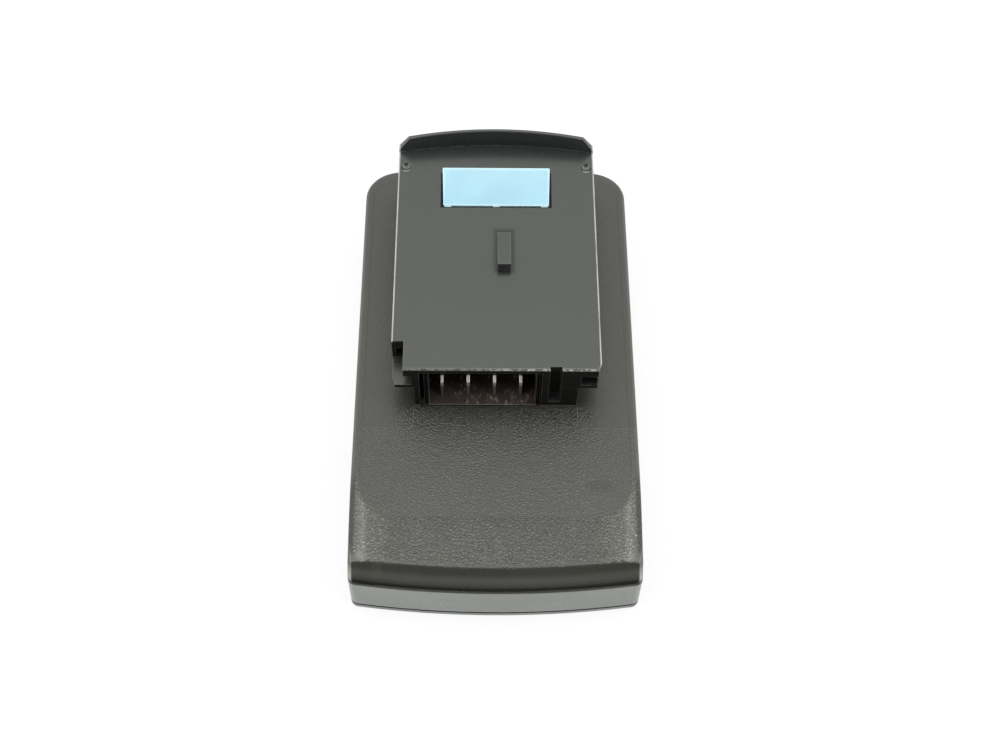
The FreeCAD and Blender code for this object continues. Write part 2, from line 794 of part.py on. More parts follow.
# What is taken out of the tower and the plate
tower_room = common("tower_room", [
    box("tower_room_box", (-tower_inner, tower_inner), (tower_front + size["tower_wall"], lip_outer_y),
        (as_size(0), plate_underside)),
    concentric("tower_room_back", size["lip_bow"], (as_size(0), plate_underside))])
cavity_room = box("cavity_room", (cavity_left, cavity_right),
                  (tower_front - size["block_gap"], block_end), (as_size(0), plate_underside))
hollow_reach = (plate_front - 1, plate_front + size["rail_hollow_depth"])
rail_hollow_right = box("rail_hollow_right", (rail_inner, plate_half - size["rail_wall"]),
                        hollow_reach, (rail_floor_top, rail_hollow_top))
rail_hollow_left = box("rail_hollow_left", (size["rail_wall"] - plate_half, -rail_inner),
                       hollow_reach, (rail_floor_top, rail_hollow_top))
notch = box("rail_notch", (-plate_half - 1, size["notch_width"] - plate_half),
            (plate_front - 1, plate_front + size["notch_depth"]), (rail_floor_top, plate_top + 1))
dimple_ball = (size["dimple_radius"] * size["dimple_radius"] + size["dimple_depth"] * size["dimple_depth"]) \
    / (2 * size["dimple_depth"])


def dimple(name, x):
    """A small round hollow in the plate."""
    item = doc.addObject("Part::Sphere", name)
    bind(item, "Radius", dimple_ball)
    bind(item, "Placement.Base.x", x)
    bind(item, "Placement.Base.y", lip_inner_y - size["dimple_lip_gap"])
    bind(item, "Placement.Base.z", plate_top - size["dimple_depth"] + dimple_ball)
    return item


def window_points(margin, front, rear):
    """The outline of the latch window, or of the catch that fills it less a margin."""
    wide = size["window_width"] / 2 - margin
    narrow = wide - size["window_taper"]
    corner = size["window_corner"]
    return [(corner - narrow, front), (narrow - corner, front), (narrow, front + corner),
            (wide, rear - corner / 2), (wide - corner / 2, rear), (corner / 2 - wide, rear),
            (-wide, rear - corner / 2), (-narrow, front + corner)]


latch_window = prism("latch_window", "XY", (plate_underside - 1, plate_top + size["lip_height"]),
                     window_points(as_size(0), window_front, window_rear))
button_half = size["button_width"] / 2
button_window = box("button_window", (-button_half - size["button_gap"], button_half + size["button_gap"]),
                    (flange_rear, lip_outer_y + 1),
                    (button_bottom - size["latch_travel"] - size["button_gap"], button_top + size["button_gap"]))
opened_tower = cut("housing_opened", fuse("housing_blank", [body_shell, tower_mass, end_wall]), [
    tower_room, cavity_room, rail_hollow_left, rail_hollow_right, notch, latch_window, button_window,
    dimple("dimple_left", -size["dimple_x"]), dimple("dimple_right", size["dimple_x"])])

# What stands inside or on top of it
rib_rear = plate_front + size["rib_setback"] + size["rib_length"]
rib_points = [
    (rib_rear - size["rib_length"], plate_underside + 1), (rib_rear, plate_underside + 1),
    (rib_rear, plate_top), (rib_rear - size["rib_length"], plate_top + size["rib_height"])]
wedge_rib = prism("wedge_rib", "YZ", (size["rib_left"], size["rib_left"] + size["rib_width"]), rib_points)
key_block = box("key_block", (cavity_right, tower_half), (tower_front, tower_front + size["key_block_depth"]),
                (roof_underside, plate_underside))
additions = [wedge_rib, key_block]
for index, (x, y) in enumerate(board_screws):
    additions.append(cylinder(f"board_boss_{index + 1}", size["small_boss_radius"], x, y,
                              (board_top, plate_underside + 1)))
for index, (x, y) in enumerate(retainer_screws):
    additions.append(cylinder(f"retainer_boss_{index + 1}", size["small_boss_radius"], x, y,
                              (retainer_top, plate_underside + 1)))
for index, (x, y) in enumerate(cover_screws):
    boss = cylinder(f"cover_boss_{index + 1}", size["cover_boss_radius"], x, y,
                    (tongue_top, size["body_height"]))
    additions.append(common(f"cover_boss_{index + 1}_in_shell", [boss, outer_form]))
for name, inner_x, outer_x in (("left", -tower_inner + size["guide_rib"], -tower_inner - 1),
                               ("right", tower_inner - size["guide_rib"], tower_inner + 1)):
    low_x, high_x = (outer_x, inner_x) if name == "left" else (inner_x, outer_x)
    additions.append(box(f"guide_rib_{name}", (low_x, high_x),
                         (latch_middle_y - size["guide_rib_width"] / 2,
                          latch_middle_y + size["guide_rib_width"] / 2),
                         (plate_underside - size["guide_rib_drop"], plate_underside + 1)))
crush_inner = sheet_outer + size["crush_rib_gap"]
crush_bottom = tongue_top + 1
for index in range(CELL_COUNT - 1):
    middle = (cell_ys[index] + cell_ys[index + 1]) / 2
    span = (middle - size["crush_rib_thickness"] / 2, middle + size["crush_rib_thickness"] / 2)
    rise = (crush_bottom, roof_underside + 0.5)
    wall_middle = half_width - size["wall"] / 2
    additions.append(box(f"crush_rib_left_{index + 1}", (-wall_middle, -crush_inner), span, rise))
    additions.append(box(f"crush_rib_right_{index + 1}", (crush_inner, wall_middle), span, rise))
furnished = fuse("housing_furnished", [opened_tower] + additions)

# Screw holes, and the key slot, which is shallower where it notches the plate
key_span = (key_left, key_left + size["key_width"])
holes = [box("key_slot", key_span, (plate_front - 1, tower_front + size["key_depth"]),
             (size["body_height"] + size["key_floor_rise"], plate_underside)),
         box("key_notch", key_span, (plate_front - 1, tower_front + size["key_notch_depth"]),
             (plate_underside - 1, plate_top + 1))]
small_hole = size["small_screw_radius"] + size["screw_gap"]
for index, (x, y) in enumerate(board_screws):
    holes.append(cylinder(f"board_boss_hole_{index + 1}", small_hole, x, y,
                          (board_top - 1, board_bottom + size["small_screw_length"] + 1)))
for index, (x, y) in enumerate(retainer_screws):
    holes.append(cylinder(f"retainer_boss_hole_{index + 1}", small_hole, x, y,
                          (retainer_top - 1, retainer_bottom + size["small_screw_length"] + 1)))
cover_head_top = size["cover_head_recess"] + size["cover_head_height"]
for index, (x, y) in enumerate(cover_screws):
    holes.append(cylinder(f"cover_boss_hole_{index + 1}", size["cover_screw_radius"] + size["screw_gap"], x, y,
                          (size["cover_floor"], cover_head_top + size["cover_screw_length"] + 1)))
top_housing = node("top_housing", cut("housing_finished", furnished, holes))


# Bottom cover, with the tongue that stands inside the housing's wall

def cover_outline(name, level, inset):
    """The footprint at a level of the cover, drawn in by an inset."""
    sketch = body_sketch(cover, name, "XY", level)
    return draw_footprint(sketch, inset, size["nose_corner"], size["tail_corner"] - inset)


def at_screws(body, name, level, radius, centres):
    """A sketch of circles at screw places."""
    return draw_circles(body_sketch(body, name, "XY", level), radius, centres)


cover = new_body("bottom_cover")
tongue_inset = size["wall"] + size["tongue_gap"]
cover_slab = pad(cover, "cover_slab", cover_outline("cover_slab_outline", as_size(0), size["cover_inset"]), cover_top)
round_body_edges(cover, "cover_bottom_edge", cover_slab, size["cover_edge_radius"],
                 lambda edge: edge.BoundBox.ZMax < 0.01)
pad(cover, "cover_tongue", cover_outline("cover_tongue_outline", size["cover_floor"], tongue_inset),
    size["tongue_height"])
pocket(cover, "cover_hollow", cover_outline("cover_hollow_outline", size["cover_floor"],
                                            tongue_inset + size["tongue_wall"]), size["tongue_height"] + 1)
pad(cover, "cover_pads", at_screws(cover, "cover_pads_outline", size["cover_floor"], size["cover_pad_radius"],
                                   cover_screws), size["tongue_height"])
pocket(cover, "cover_counterbores",
       at_screws(cover, "cover_counterbores_outline", as_size(0),
                 size["cover_head_radius"] + size["clearance_hole_gap"], cover_screws), cover_head_top)
pocket(cover, "cover_holes",
       at_screws(cover, "cover_holes_outline", as_size(0),
                 size["cover_screw_radius"] + size["clearance_hole_gap"], cover_screws),
       tongue_top + 1)


# Screws

def screw(name, x, y, seat, shank_radius, length, head_radius, head_height):
    """A screw driven upwards: its head lies under the seat, with a hexagon socket from below."""
    head = cylinder(name + "_head", head_radius, x, y, (seat - head_height, seat))
    shank = cylinder(name + "_shank", shank_radius, x, y, (seat, seat + length))
    socket = doc.addObject("Part::Prism", name + "_socket")
    socket.Polygon = 6
    bind(socket, "Circumradius", shank_radius)
    bind(socket, "Height", size["socket_depth"])
    for axis, amount in (("x", x), ("y", y), ("z", seat - head_height)):
        bind(socket, f"Placement.Base.{axis}", amount)
    return cut(name, fuse(name + "_blank", [head, shank]), socket)


group("cover_screws", [
    screw(f"cover_screw_{index + 1}", x, y, cover_head_top, size["cover_screw_radius"],
          size["cover_screw_length"], size["cover_head_radius"], size["cover_head_height"])
    for index, (x, y) in enumerate(cover_screws)])


def small_screws(name, seat, places):
    """The small screws at some places, under one name."""
    group(name, [
        screw(f"{name}_{index + 1}", x, y, seat, size["small_screw_radius"], size["small_screw_length"],
              size["small_head_radius"], size["small_head_height"]) for index, (x, y) in enumerate(places)])


small_screws("board_screws", board_bottom, board_screws)
small_screws("retainer_screws", retainer_bottom, retainer_screws)

# Latch: catch, flange, body, arm, skirt and release button in one moulding
catch_top = plate_top + size["catch_rise"]
catch = common("catch", [
    prism("catch_plan", "XY", (flange_bottom, catch_top + 1),
          window_points(size["catch_gap"], catch_front, catch_rear)),
    prism("catch_wedge", "YZ", (-size["window_width"], size["window_width"]), [
        (catch_front, flange_bottom), (catch_rear, flange_bottom), (catch_rear, catch_top),
        (catch_front, plate_top)])])
catch_left = size["catch_gap"] + size["window_taper"] - size["window_width"] / 2
nub_side = catch_left + size["window_corner"] + size["nub_width"] / 2
nubs = [box(f"catch_nub_{index + 1}", (x - size["nub_width"] / 2, x + size["nub_width"] / 2),
            (catch_front - size["nub_length"], catch_front + size["nub_length"]),
            (plate_underside, plate_top - size["nub_length"] / 2))
        for index, x in enumerate((nub_side, as_size(0), -nub_side))]
flange_half = tower_inner - size["latch_side_gap"]
flange_plate = box("latch_flange_plate", (-flange_half, flange_half), (flange_front, flange_rear),
                   (flange_bottom, flange_top))
guide_reach = tower_inner - size["guide_rib"] - size["guide_gap"]
guide_span = (latch_middle_y - size["guide_rib_width"] / 2 - size["guide_gap"],
              latch_middle_y + size["guide_rib_width"] / 2 + size["guide_gap"])
flange_rise = (flange_bottom - 1, flange_top + 1)
flange = cut("latch_flange", flange_plate, [
    box("latch_guide_notch_left", (-flange_half - 1, -guide_reach), guide_span, flange_rise),
    box("latch_guide_notch_right", (guide_reach, flange_half + 1), guide_span, flange_rise)])
latch_core = box("latch_core", (-size["latch_body_width"] / 2, size["latch_body_width"] / 2),
                 (window_front + size["latch_body_inset"], window_rear - size["latch_body_inset"]),
                 (latch_body_bottom, flange_bottom))
spring_places = (("left", -size["spring_x"]), ("right", size["spring_x"]))
latch_pockets = [cylinder(f"latch_pocket_{side}", size["spring_radius"] + size["spring_pocket_gap"],
                          x, latch_middle_y, (latch_body_bottom - 1, spring_top)) for side, x in spring_places]
skirt_outer = size["lip_bow"] - size["button_gap"]
skirt_bottom = button_bottom - size["latch_travel"] - size["button_gap"] - size["skirt_overlap"] / 2
skirt_span = (skirt_bottom, button_top + size["skirt_overlap"])
arm = box("latch_arm", (-size["arm_width"] / 2, size["arm_width"] / 2),
          (latch_middle_y, lip_middle + skirt_outer - size["skirt_thickness"] / 2),
          (flange_bottom - size["arm_height"], flange_bottom))
skirt = common("latch_skirt", [
    cut("latch_skirt_band", concentric("latch_skirt_outside", skirt_outer, skirt_span),
        concentric("latch_skirt_inside", skirt_outer - size["skirt_thickness"], skirt_span)),
    box("latch_skirt_room", (-size["skirt_width"] / 2, size["skirt_width"] / 2), (latch_middle_y, tail_y),
        skirt_span)])
button_outer = lip_outer_bow + size["button_proud"]


def button_part(name, reach, rise):
    """A slab of the button, bowed like the lip, out to a reach from the middle of the bow."""
    return common(name, [
        concentric(name + "_bow", reach, rise),
        box(name + "_room", (-button_half, button_half), (flange_rear, tail_y), rise)])


button_inside = concentric("button_inside", skirt_outer - size["skirt_thickness"] / 2,
                           (button_bottom - 1, button_top + 1))
button = cut("latch_button", fuse("latch_button_blank", [
    button_part("button_face", button_outer, (button_bottom, button_top)),
    button_part("button_ledge", button_outer + size["button_ledge"],
                (button_bottom, button_bottom + size["button_ledge_height"]))]), button_inside)
latch = node("latch", cut("latch_finished", fuse(
    "latch_blank", [catch, flange, latch_core, arm, skirt, button] + nubs), latch_pockets))

# Retainer plate under the latch, with a peg for each spring
retainer = new_body("latch_retainer")
pad(retainer, "retainer_plate", draw_polygon(
    body_sketch(retainer, "retainer_plate_outline", "XY", retainer_bottom),
    [(-board_half, retainer_front), (board_half, retainer_front),
     (board_half, retainer_rear), (-board_half, retainer_rear)]), size["retainer_thickness"])
pad(retainer, "retainer_pegs",
    at_screws(retainer, "retainer_pegs_outline", retainer_top, size["spring_peg_radius"],
              [(x, latch_middle_y) for _, x in spring_places]), size["spring_peg_height"])
pocket(retainer, "retainer_holes",
       at_screws(retainer, "retainer_holes_outline", retainer_bottom,
                 size["small_screw_radius"] + size["clearance_hole_gap"], retainer_screws),
       size["retainer_thickness"])

for side, x in spring_places:
    span = (retainer_top, spring_top)
    node(f"latch_spring_{side}", cut(
        f"spring_{side}", cylinder(f"spring_{side}_outside", size["spring_radius"], x, latch_middle_y, span),
        cylinder(f"spring_{side}_inside", size["spring_radius"] - size["spring_wire"], x, latch_middle_y, span)))

# Terminal block: a floor, two side walls and a slotted back wall
block_left = cavity_left + size["block_left_gap"]
block_right = cavity_right - size["block_gap"]
block_front = tower_front
wall_top = plate_underside - size["block_gap"]
BLADE_COUNT = 4
blade_xs = [size["blade_middle_x"] + size["blade_pitch"] * (index - (BLADE_COUNT - 1) / 2)
            for index in range(BLADE_COUNT)]
blade_front = tower_front + size["blade_setback"]
blade_bottom = block_top + size["blade_gap"]
blade_top = block_top + size["blade_height"]
tail_front = block_end + size["blade_tail_gap"]
tail_rear = tail_front + size["blade_tail_length"]
tail_bottom = board_bottom - size["blade_tail_below_board"]
blade_half = size["blade_thickness"] / 2
slot_half = blade_half + size["blade_gap"]
block_parts = [
    box("block_floor_slab", (block_left, block_right), (block_front, block_end), (block_bottom, block_top)),
    box("block_wall_left", (block_left, block_left + size["block_wall"]), (block_front, block_end),
        (block_bottom, wall_top)),
    box("block_wall_right", (block_right - size["block_wall"], block_right), (block_front, block_end),
        (block_bottom, wall_top)),
    box("block_wall_back", (block_left, block_right), (block_back_y, block_end), (block_bottom, wall_top))]
blade_slots = [box(f"blade_slot_{index + 1}", (x - slot_half, x + slot_half),
                   (block_back_y - 1, block_end + 1), (block_top, blade_top + size["blade_gap"]))
               for index, x in enumerate(blade_xs)]
node("terminal_block", cut("block_slotted", fuse("block_blank", block_parts), blade_slots))

# Terminal blades: each one runs back through the block's wall and turns down through the board
shelf = board_top + size["blade_board_gap"]
for index, x in enumerate(blade_xs):
    outline = [
        (blade_front, blade_bottom), (block_end, blade_bottom), (block_end, shelf), (tail_front, shelf),
        (tail_front, tail_bottom), (tail_rear, tail_bottom), (tail_rear, blade_top),
        (blade_front + size["blade_tip"], blade_top), (blade_front, blade_top - size["blade_tip"])]
    node(f"terminal_blade_{index + 1}",
         prism(f"blade_{index + 1}", "YZ", (x - blade_half, x + blade_half), outline))

# Circuit board, with slots for the blades and holes for its screws
board = new_body("circuit_board")
pad(board, "board_plate", draw_polygon(
    body_sketch(board, "board_outline", "XY", board_bottom),
    [(-board_half, board_front), (board_half, board_front), (board_half, board_rear), (-board_half, board_rear)]),
    size["board_thickness"])
pocket(board, "board_holes",
       at_screws(board, "board_holes_outline", board_bottom,
                 size["small_screw_radius"] + size["clearance_hole_gap"], board_screws), size["board_thickness"])
for index, x in enumerate(blade_xs):
    slot = draw_polygon(body_sketch(board, f"board_slot_{index + 1}_outline", "XY", board_bottom), [
        (x - slot_half, tail_front - size["blade_gap"]), (x + slot_half, tail_front - size["blade_gap"]),
        (x + slot_half, tail_rear + size["blade_gap"]), (x - slot_half, tail_rear + size["blade_gap"])])
    pocket(board, f"board_slot_{index + 1}", slot, size["board_thickness"])

# Parts on the board

def on_board(name, x, y, height):
    """A box that stands on the board."""
    return box(name, x, y, (board_top, board_top + height))


def transistor(name, left):
    """A power transistor lying flat: a case, a metal tab behind it and two leads in front."""
    right = left + size["transistor_width"]
    front = tail_rear + size["transistor_gap"]
    rear = front + size["transistor_length"]
    leads = [on_board(f"{name}_lead_{side}", (x - size["lead_width"] / 2, x + size["lead_width"] / 2),
                      (front - size["lead_width"] * 2, front + 1), size["lead_width"])
             for side, x in (("left", left + size["lead_width"] * 3), ("right", right - size["lead_width"] * 3))]
    tab = on_board(name + "_tab", (left + size["lead_width"], right - size["lead_width"]),
                   (rear - 1, rear + size["lead_width"] / 2), size["lead_width"] * 2)
    return fuse(name, [on_board(name + "_case", (left, right), (front, rear), size["transistor_height"]), tab] + leads)


transistor_inner = size["transistor_spacing"] / 2
group("power_transistors", [
    transistor("transistor_left", -transistor_inner - size["transistor_width"]),
    transistor("transistor_right", transistor_inner)])
transistor_rear = tail_rear + size["transistor_gap"] + size["transistor_length"]
rear_row = board_rear - size["rear_row_margin"]
node("capacitor", cylinder("capacitor_can", size["capacitor_radius"], -size["capacitor_x"], rear_row,
                           (board_top, board_top + size["capacitor_height"])))
chip_half = size["chip_side"] / 2
chip_x = size["chip_x"]
node("control_chip", on_board("chip_case", (chip_x - chip_half, chip_x + chip_half),
                              (rear_row - chip_half, rear_row + chip_half), size["chip_height"]))
shunt_left = transistor_inner + size["transistor_width"] + size["shunt_gap"]
shunt_front = tail_rear + size["shunt_setback"]
node("shunt_resistor", on_board("shunt_case", (shunt_left, shunt_left + size["shunt_width"]),
                                (shunt_front, shunt_front + size["shunt_length"]), size["shunt_height"]))
connector_left = -board_half + size["connector_margin"]
connector_middle = (board_screws[0][1] + board_screws[1][1]) / 2
connector_span = (connector_middle - size["connector_length"] / 2, connector_middle + size["connector_length"] / 2)
connector_case = on_board("connector_case", (connector_left, connector_left + size["connector_width"]),
                          connector_span, size["connector_height"])
connector_mouth = box("connector_mouth", (connector_left + size["lead_width"],
                                          connector_left + size["connector_width"] - size["lead_width"]),
                      (connector_span[0] + size["lead_width"], connector_span[1] - size["lead_width"]),
                      (board_top + size["connector_height"] / 2, board_top + size["connector_height"] + 1))
node("sense_connector", cut("connector_open", connector_case, connector_mouth))
RESISTOR_COUNT = 6
resistor_row = tail_rear + size["resistor_setback"]
resistors = []
for index in range(RESISTOR_COUNT):
    x = size["resistor_pitch"] * (index - (RESISTOR_COUNT - 1) / 2)
    resistors.append(on_board(f"resistor_{index + 1}",
                              (x - size["resistor_length"] / 2, x + size["resistor_length"] / 2),
                              (resistor_row - size["resistor_width"] / 2, resistor_row + size["resistor_width"] / 2),
                              size["resistor_height"]))
group("chip_components", resistors)
bead_top = board_bottom - size["thermistor_drop"]
thermistor_y = (board_front + board_rear) / 2 + size["thermistor_setback"]
bead = cylinder("thermistor_bead", size["thermistor_radius"], as_size(0), thermistor_y,
                (bead_top - size["thermistor_length"], bead_top))
lead_x = size["thermistor_radius"] / 2
leads = [box(f"thermistor_lead_{side}", (x - size["lead_width"] / 2, x + size["lead_width"] / 2),
             (thermistor_y - size["lead_width"] / 2, thermistor_y + size["lead_width"] / 2),
             (bead_top - size["lead_width"], board_bottom)) for side, x in (("left", -lead_x), ("right", lead_x))]
node("thermistor", fuse("thermistor_whole", [bead] + leads))


# Cells, which lie across the body with their button terminals left and right in turn

def facing(sense, near, far):
    """A span along X on the side that the sense gives, from a near to a far distance."""
    return (near, far) if sense > 0 else (-far, -near)


can_end = cell_end - size["button_terminal_height"]
rings = []
for index, y in enumerate(cell_ys):
    sense = 1 if index % 2 == 0 else -1
    can = (-cell_end, can_end) if sense > 0 else (-can_end, cell_end)
    node(f"cell_{index + 1}", fuse(f"cell_{index + 1}_whole", [
        cylinder(f"cell_{index + 1}_can", cell_radius, can, y, cell_z),
        cylinder(f"cell_{index + 1}_button", size["button_terminal_radius"],
                 facing(sense, can_end - 1, cell_end), y, cell_z)]))
    ring_span = facing(sense, can_end, can_end + size["ring_thickness"])
    rings.append(cut(
        f"insulator_ring_{index + 1}",
        cylinder(f"insulator_ring_{index + 1}_disc", cell_radius - size["button_terminal_height"],
                 ring_span, y, cell_z),
        cylinder(f"insulator_ring_{index + 1}_hole", size["button_terminal_radius"] + size["button_terminal_height"],
                 ring_span, y, cell_z)))
group("insulator_rings", rings)


def holder(name, sense):
    """A tray that holds one end of every cell, with a window over each terminal."""
    body = new_body(name)
    outer = facing(sense, holder_wall_inner - size["holder_depth"], holder_outer)
    bores = facing(sense, holder_wall_inner - size["holder_depth"], holder_wall_inner)
    windows = facing(sense, holder_wall_inner, holder_outer)
    pad(body, name + "_block", draw_polygon(
        body_sketch(body, name + "_outline", "YZ", outer[0]),
        [(holder_front, holder_bottom), (holder_rear, holder_bottom),
         (holder_rear, holder_top), (holder_front, holder_top)]), outer[1] - outer[0])
    bore = pocket(body, name + "_bore", draw_circles(
        body_sketch(body, name + "_bore_outline", "YZ", bores[0]),
        cell_radius + size["bore_gap"], [(cell_ys[0], cell_z)]), bores[1] - bores[0])
    repeat_along_y(body, name + "_bores", bore, CELL_COUNT, cell_pitch)
    window = pocket(body, name + "_window", draw_circles(
        body_sketch(body, name + "_window_outline", "YZ", windows[0]),
        cell_radius - size["holder_window_rim"], [(cell_ys[0], cell_z)]), windows[1] - windows[0])
    repeat_along_y(body, name + "_windows", window, CELL_COUNT, cell_pitch)


holder("cell_holder_left", -1)
holder("cell_holder_right", 1)

# Nickel links between neighbouring cells, pressed in through the holders' windows
link_rise = (cell_z - size["link_width"] / 2, cell_z + size["link_width"] / 2)


def welded_strip(name, sense, cells):
    """A strip on the outside of a holder, with a dimple down to each cell that it joins."""
    span = (cells[0] - size["link_overlap"], cells[-1] + size["link_overlap"])
    parts = [box(name + "_strip", facing(sense, holder_outer, link_outer), span, link_rise)]
    for number, y in enumerate(cells, start=1):
        parts.append(cylinder(f"{name}_dimple_{number}", size["weld_dimple_radius"],
                              facing(sense, cell_end + size["weld_gap"], link_outer), y, cell_z))
    return fuse(name, parts)


def links(name, sense, first):
    """Every link on one side, each over two neighbours, from the first cell on."""
    group(name, [welded_strip(f"{name}_{index + 1}", sense, (cell_ys[index], cell_ys[index + 1]))
                 for index in range(first, CELL_COUNT - 1, 2)])


links("left_links", -1, 0)
links("right_links", 1, 1)


def strap(name, cell_y, middle_y, board_y):
    """A nickel strap from an end cell, over the cells and along to the underside of the board."""
    half = size["strap_width"] / 2
    outer = (holder_outer, link_outer)
    inner = (size["strap_inner_x"], size["strap_inner_x"] + size["strap_width"])
    level = (strap_bottom, strap_top)
    run = (middle_y, board_y) if middle_y.value < board_y.value else (board_y, middle_y)
    riser = (board_y - size["link_thickness"], board_y) if middle_y.value < board_y.value \
        else (board_y, board_y + size["link_thickness"])
    node(name, fuse(name + "_whole", [
        welded_strip(name + "_tab", 1, (cell_y,)),
        box(name + "_side", outer, (middle_y - half, middle_y + half), (cell_z, strap_top)),
        box(name + "_top", (inner[0], link_outer), (middle_y - half, middle_y + half), level),
        box(name + "_run", inner, run, level),
        box(name + "_riser", inner, riser, (strap_bottom, board_bottom))]))


strap("positive_strap", cell_ys[0], cell_ys[0] + size["strap_offset"], board_front + size["strap_riser_margin"])
strap("negative_strap", cell_ys[-1], cell_ys[-1], board_rear - size["strap_riser_margin"])


def sense_flex(name, sense, first, branch_y, branch_x):
    """A thin printed strip over the cells, with a finger down to every link and a branch up to the board."""
    half = size["flex_width"] / 2
    level = (strap_bottom, strap_bottom + size["flex_thickness"])
    fingers = [(cell_ys[index] + cell_ys[index + 1]) / 2 for index in range(first, CELL_COUNT - 1, 2)]
    spine_x = (size["flex_x"] - half, size["flex_x"] + half)
    reach = max([y.value for y in fingers] + [branch_y.value])
    last = branch_y if branch_y.value == reach else fingers[-1]
    parts = [box(name + "_spine", facing(sense, *spine_x), (fingers[0] - half, last + half), level)]
    for number, y in enumerate(fingers, start=1):
        span = (y - half, y + half)
        parts.append(box(f"{name}_finger_{number}", facing(sense, spine_x[0], flex_tab_outer), span, level))
        parts.append(box(f"{name}_tab_{number}", facing(sense, link_outer, flex_tab_outer), span,
                         (cell_z, level[1])))
    branch = (branch_y - half, branch_y + half)
    parts.append(box(name + "_branch", facing(sense, branch_x, spine_x[1]), branch, level))
    parts.append(box(name + "_riser", facing(sense, branch_x, branch_x + size["flex_thickness"]), branch,
                     (strap_bottom, board_bottom)))
    node(name, fuse(name + "_whole", parts))


sense_flex("sense_flex_left", -1, 0, board_rear - size["left_branch_margin"], size["left_branch_x"])
sense_flex("sense_flex_right", 1, 1, board_front + size["right_branch_margin"], size["right_branch_x"])

# Insulation sheets over the links, and foam pads before and behind the cells
for side, sense in (("left", -1), ("right", 1)):
    node(f"{side}_insulation_sheet", box(f"{side}_sheet", facing(sense, sheet_inner, sheet_outer),
                                         (holder_front, holder_rear), (holder_bottom, holder_top)))

foam_bottom = tongue_top + size["foam_gap"]
foam_half = holder_wall_inner - size["holder_depth"] - size["foam_side_gap"]
nose_sag = foam_half * foam_half / (2 * size["nose_bow"])
tail_sag = foam_half * foam_half / (2 * size["tail_bow"])
cell_reach = cell_radius + size["foam_gap"]
node("front_foam", box("front_pad", (-foam_half, foam_half),
                       (nose_y + size["wall"] + nose_sag + size["foam_gap"], cell_ys[0] - cell_reach),
                       (foam_bottom, nose_wall_height - size["front_foam_roof_gap"])))
node("rear_foam", box("rear_pad", (-foam_half, foam_half),
                      (cell_ys[-1] + cell_reach, tail_y - size["wall"] - tail_sag - size["foam_gap"] * 2),
                      (foam_bottom, roof_underside - size["rear_foam_roof_gap"])))

# Every object must have worked, and every piece must be a sound shape, before anything is written
doc.recompute()
for item in doc.Objects:
    if any(word in item.State for word in ("Invalid", "Error")):
        raise ValueError(f"{item.Label} failed: {item.State}")
for name, item in NODES.items():
    if item.Shape.isNull() or not item.Shape.isValid():
        raise ValueError(f"{name} is not a sound shape")
    if not item.Shape.Solids:
        raise ValueError(f"{name} has no solid")

os.makedirs("parts", exist_ok=True)
for name, item in NODES.items():
    item.Shape.exportStep(f"parts/{name}.step")
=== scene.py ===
# %% [markdown]
# A slide-on battery pack for a cordless tool. A low, wide body of dark moulded plastic carries a narrower
# tower with a slide plate. The plate's edges are hollow rails, a bowed lip stops the tool at the back, and
# a light blue latch stands in a window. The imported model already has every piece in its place, in metres.
# So this lesson keeps those shapes, rounds their edges, and gives each piece the finish of the real one.

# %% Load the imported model
import json
import math

import bmesh
import bpy
from mathutils import Matrix, Vector


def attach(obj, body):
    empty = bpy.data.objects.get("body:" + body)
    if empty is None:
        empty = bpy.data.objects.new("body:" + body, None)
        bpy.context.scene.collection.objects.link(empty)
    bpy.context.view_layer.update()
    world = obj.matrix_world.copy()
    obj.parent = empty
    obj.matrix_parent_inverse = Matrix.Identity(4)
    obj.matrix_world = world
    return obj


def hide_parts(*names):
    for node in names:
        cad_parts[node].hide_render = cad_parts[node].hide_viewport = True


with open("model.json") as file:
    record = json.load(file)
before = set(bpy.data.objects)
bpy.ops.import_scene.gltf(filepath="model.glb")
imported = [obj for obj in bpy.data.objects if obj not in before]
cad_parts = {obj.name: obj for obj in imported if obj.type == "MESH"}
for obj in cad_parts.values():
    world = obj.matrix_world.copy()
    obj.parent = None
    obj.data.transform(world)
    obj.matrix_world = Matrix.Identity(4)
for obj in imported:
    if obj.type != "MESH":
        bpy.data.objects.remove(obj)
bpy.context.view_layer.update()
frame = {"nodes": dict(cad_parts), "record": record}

MM = 0.001

# %% [markdown]
# The camera stands in front of the pack and looks down on it steeply. Its height and its focal length come
# from the vanishing points of the pack's straight edges. Blender wants a matrix, so the three directions of
# the camera are worked out first: back along the line of sight, to the right, and up, rolled a little.

# %% Place the camera
ELEVATION = math.radians(58.5)
YAW = math.radians(-1.20)
ROLL = math.radians(-1.29)
DISTANCE = 447.65 * MM
AIM = Vector((1.39, 7.2, 0)) * MM
FOCAL_SHARE = 1504.4 / 999      # focal length over picture width, both in pixels
SENSOR = 36                     # millimetres, as Blender counts its lenses

back = Vector((math.sin(YAW) * math.cos(ELEVATION), -math.cos(YAW) * math.cos(ELEVATION),
               math.sin(ELEVATION)))
level_right = Vector((math.cos(YAW), math.sin(YAW), 0))
level_up = back.cross(level_right)
right = level_right * math.cos(ROLL) - level_up * math.sin(ROLL)
up = level_right * math.sin(ROLL) + level_up * math.cos(ROLL)

camera_data = bpy.data.cameras.new("camera")
camera_data.sensor_width = SENSOR
camera_data.lens = FOCAL_SHARE * SENSOR
camera_data.clip_start = 10 * MM
camera = bpy.data.objects.new("camera", camera_data)
camera_turn = Matrix((right, up, back)).transposed().to_4x4()
camera.matrix_world = Matrix.Translation(AIM + back * DISTANCE) @ camera_turn
bpy.context.scene.collection.objects.link(camera)
bpy.context.scene.camera = camera
bpy.context.scene.view_settings.view_transform = "Standard"
print(f"camera at {[round(v / MM, 1) for v in camera.matrix_world.translation]} mm, "
      f"lens {camera_data.lens:.1f} mm")

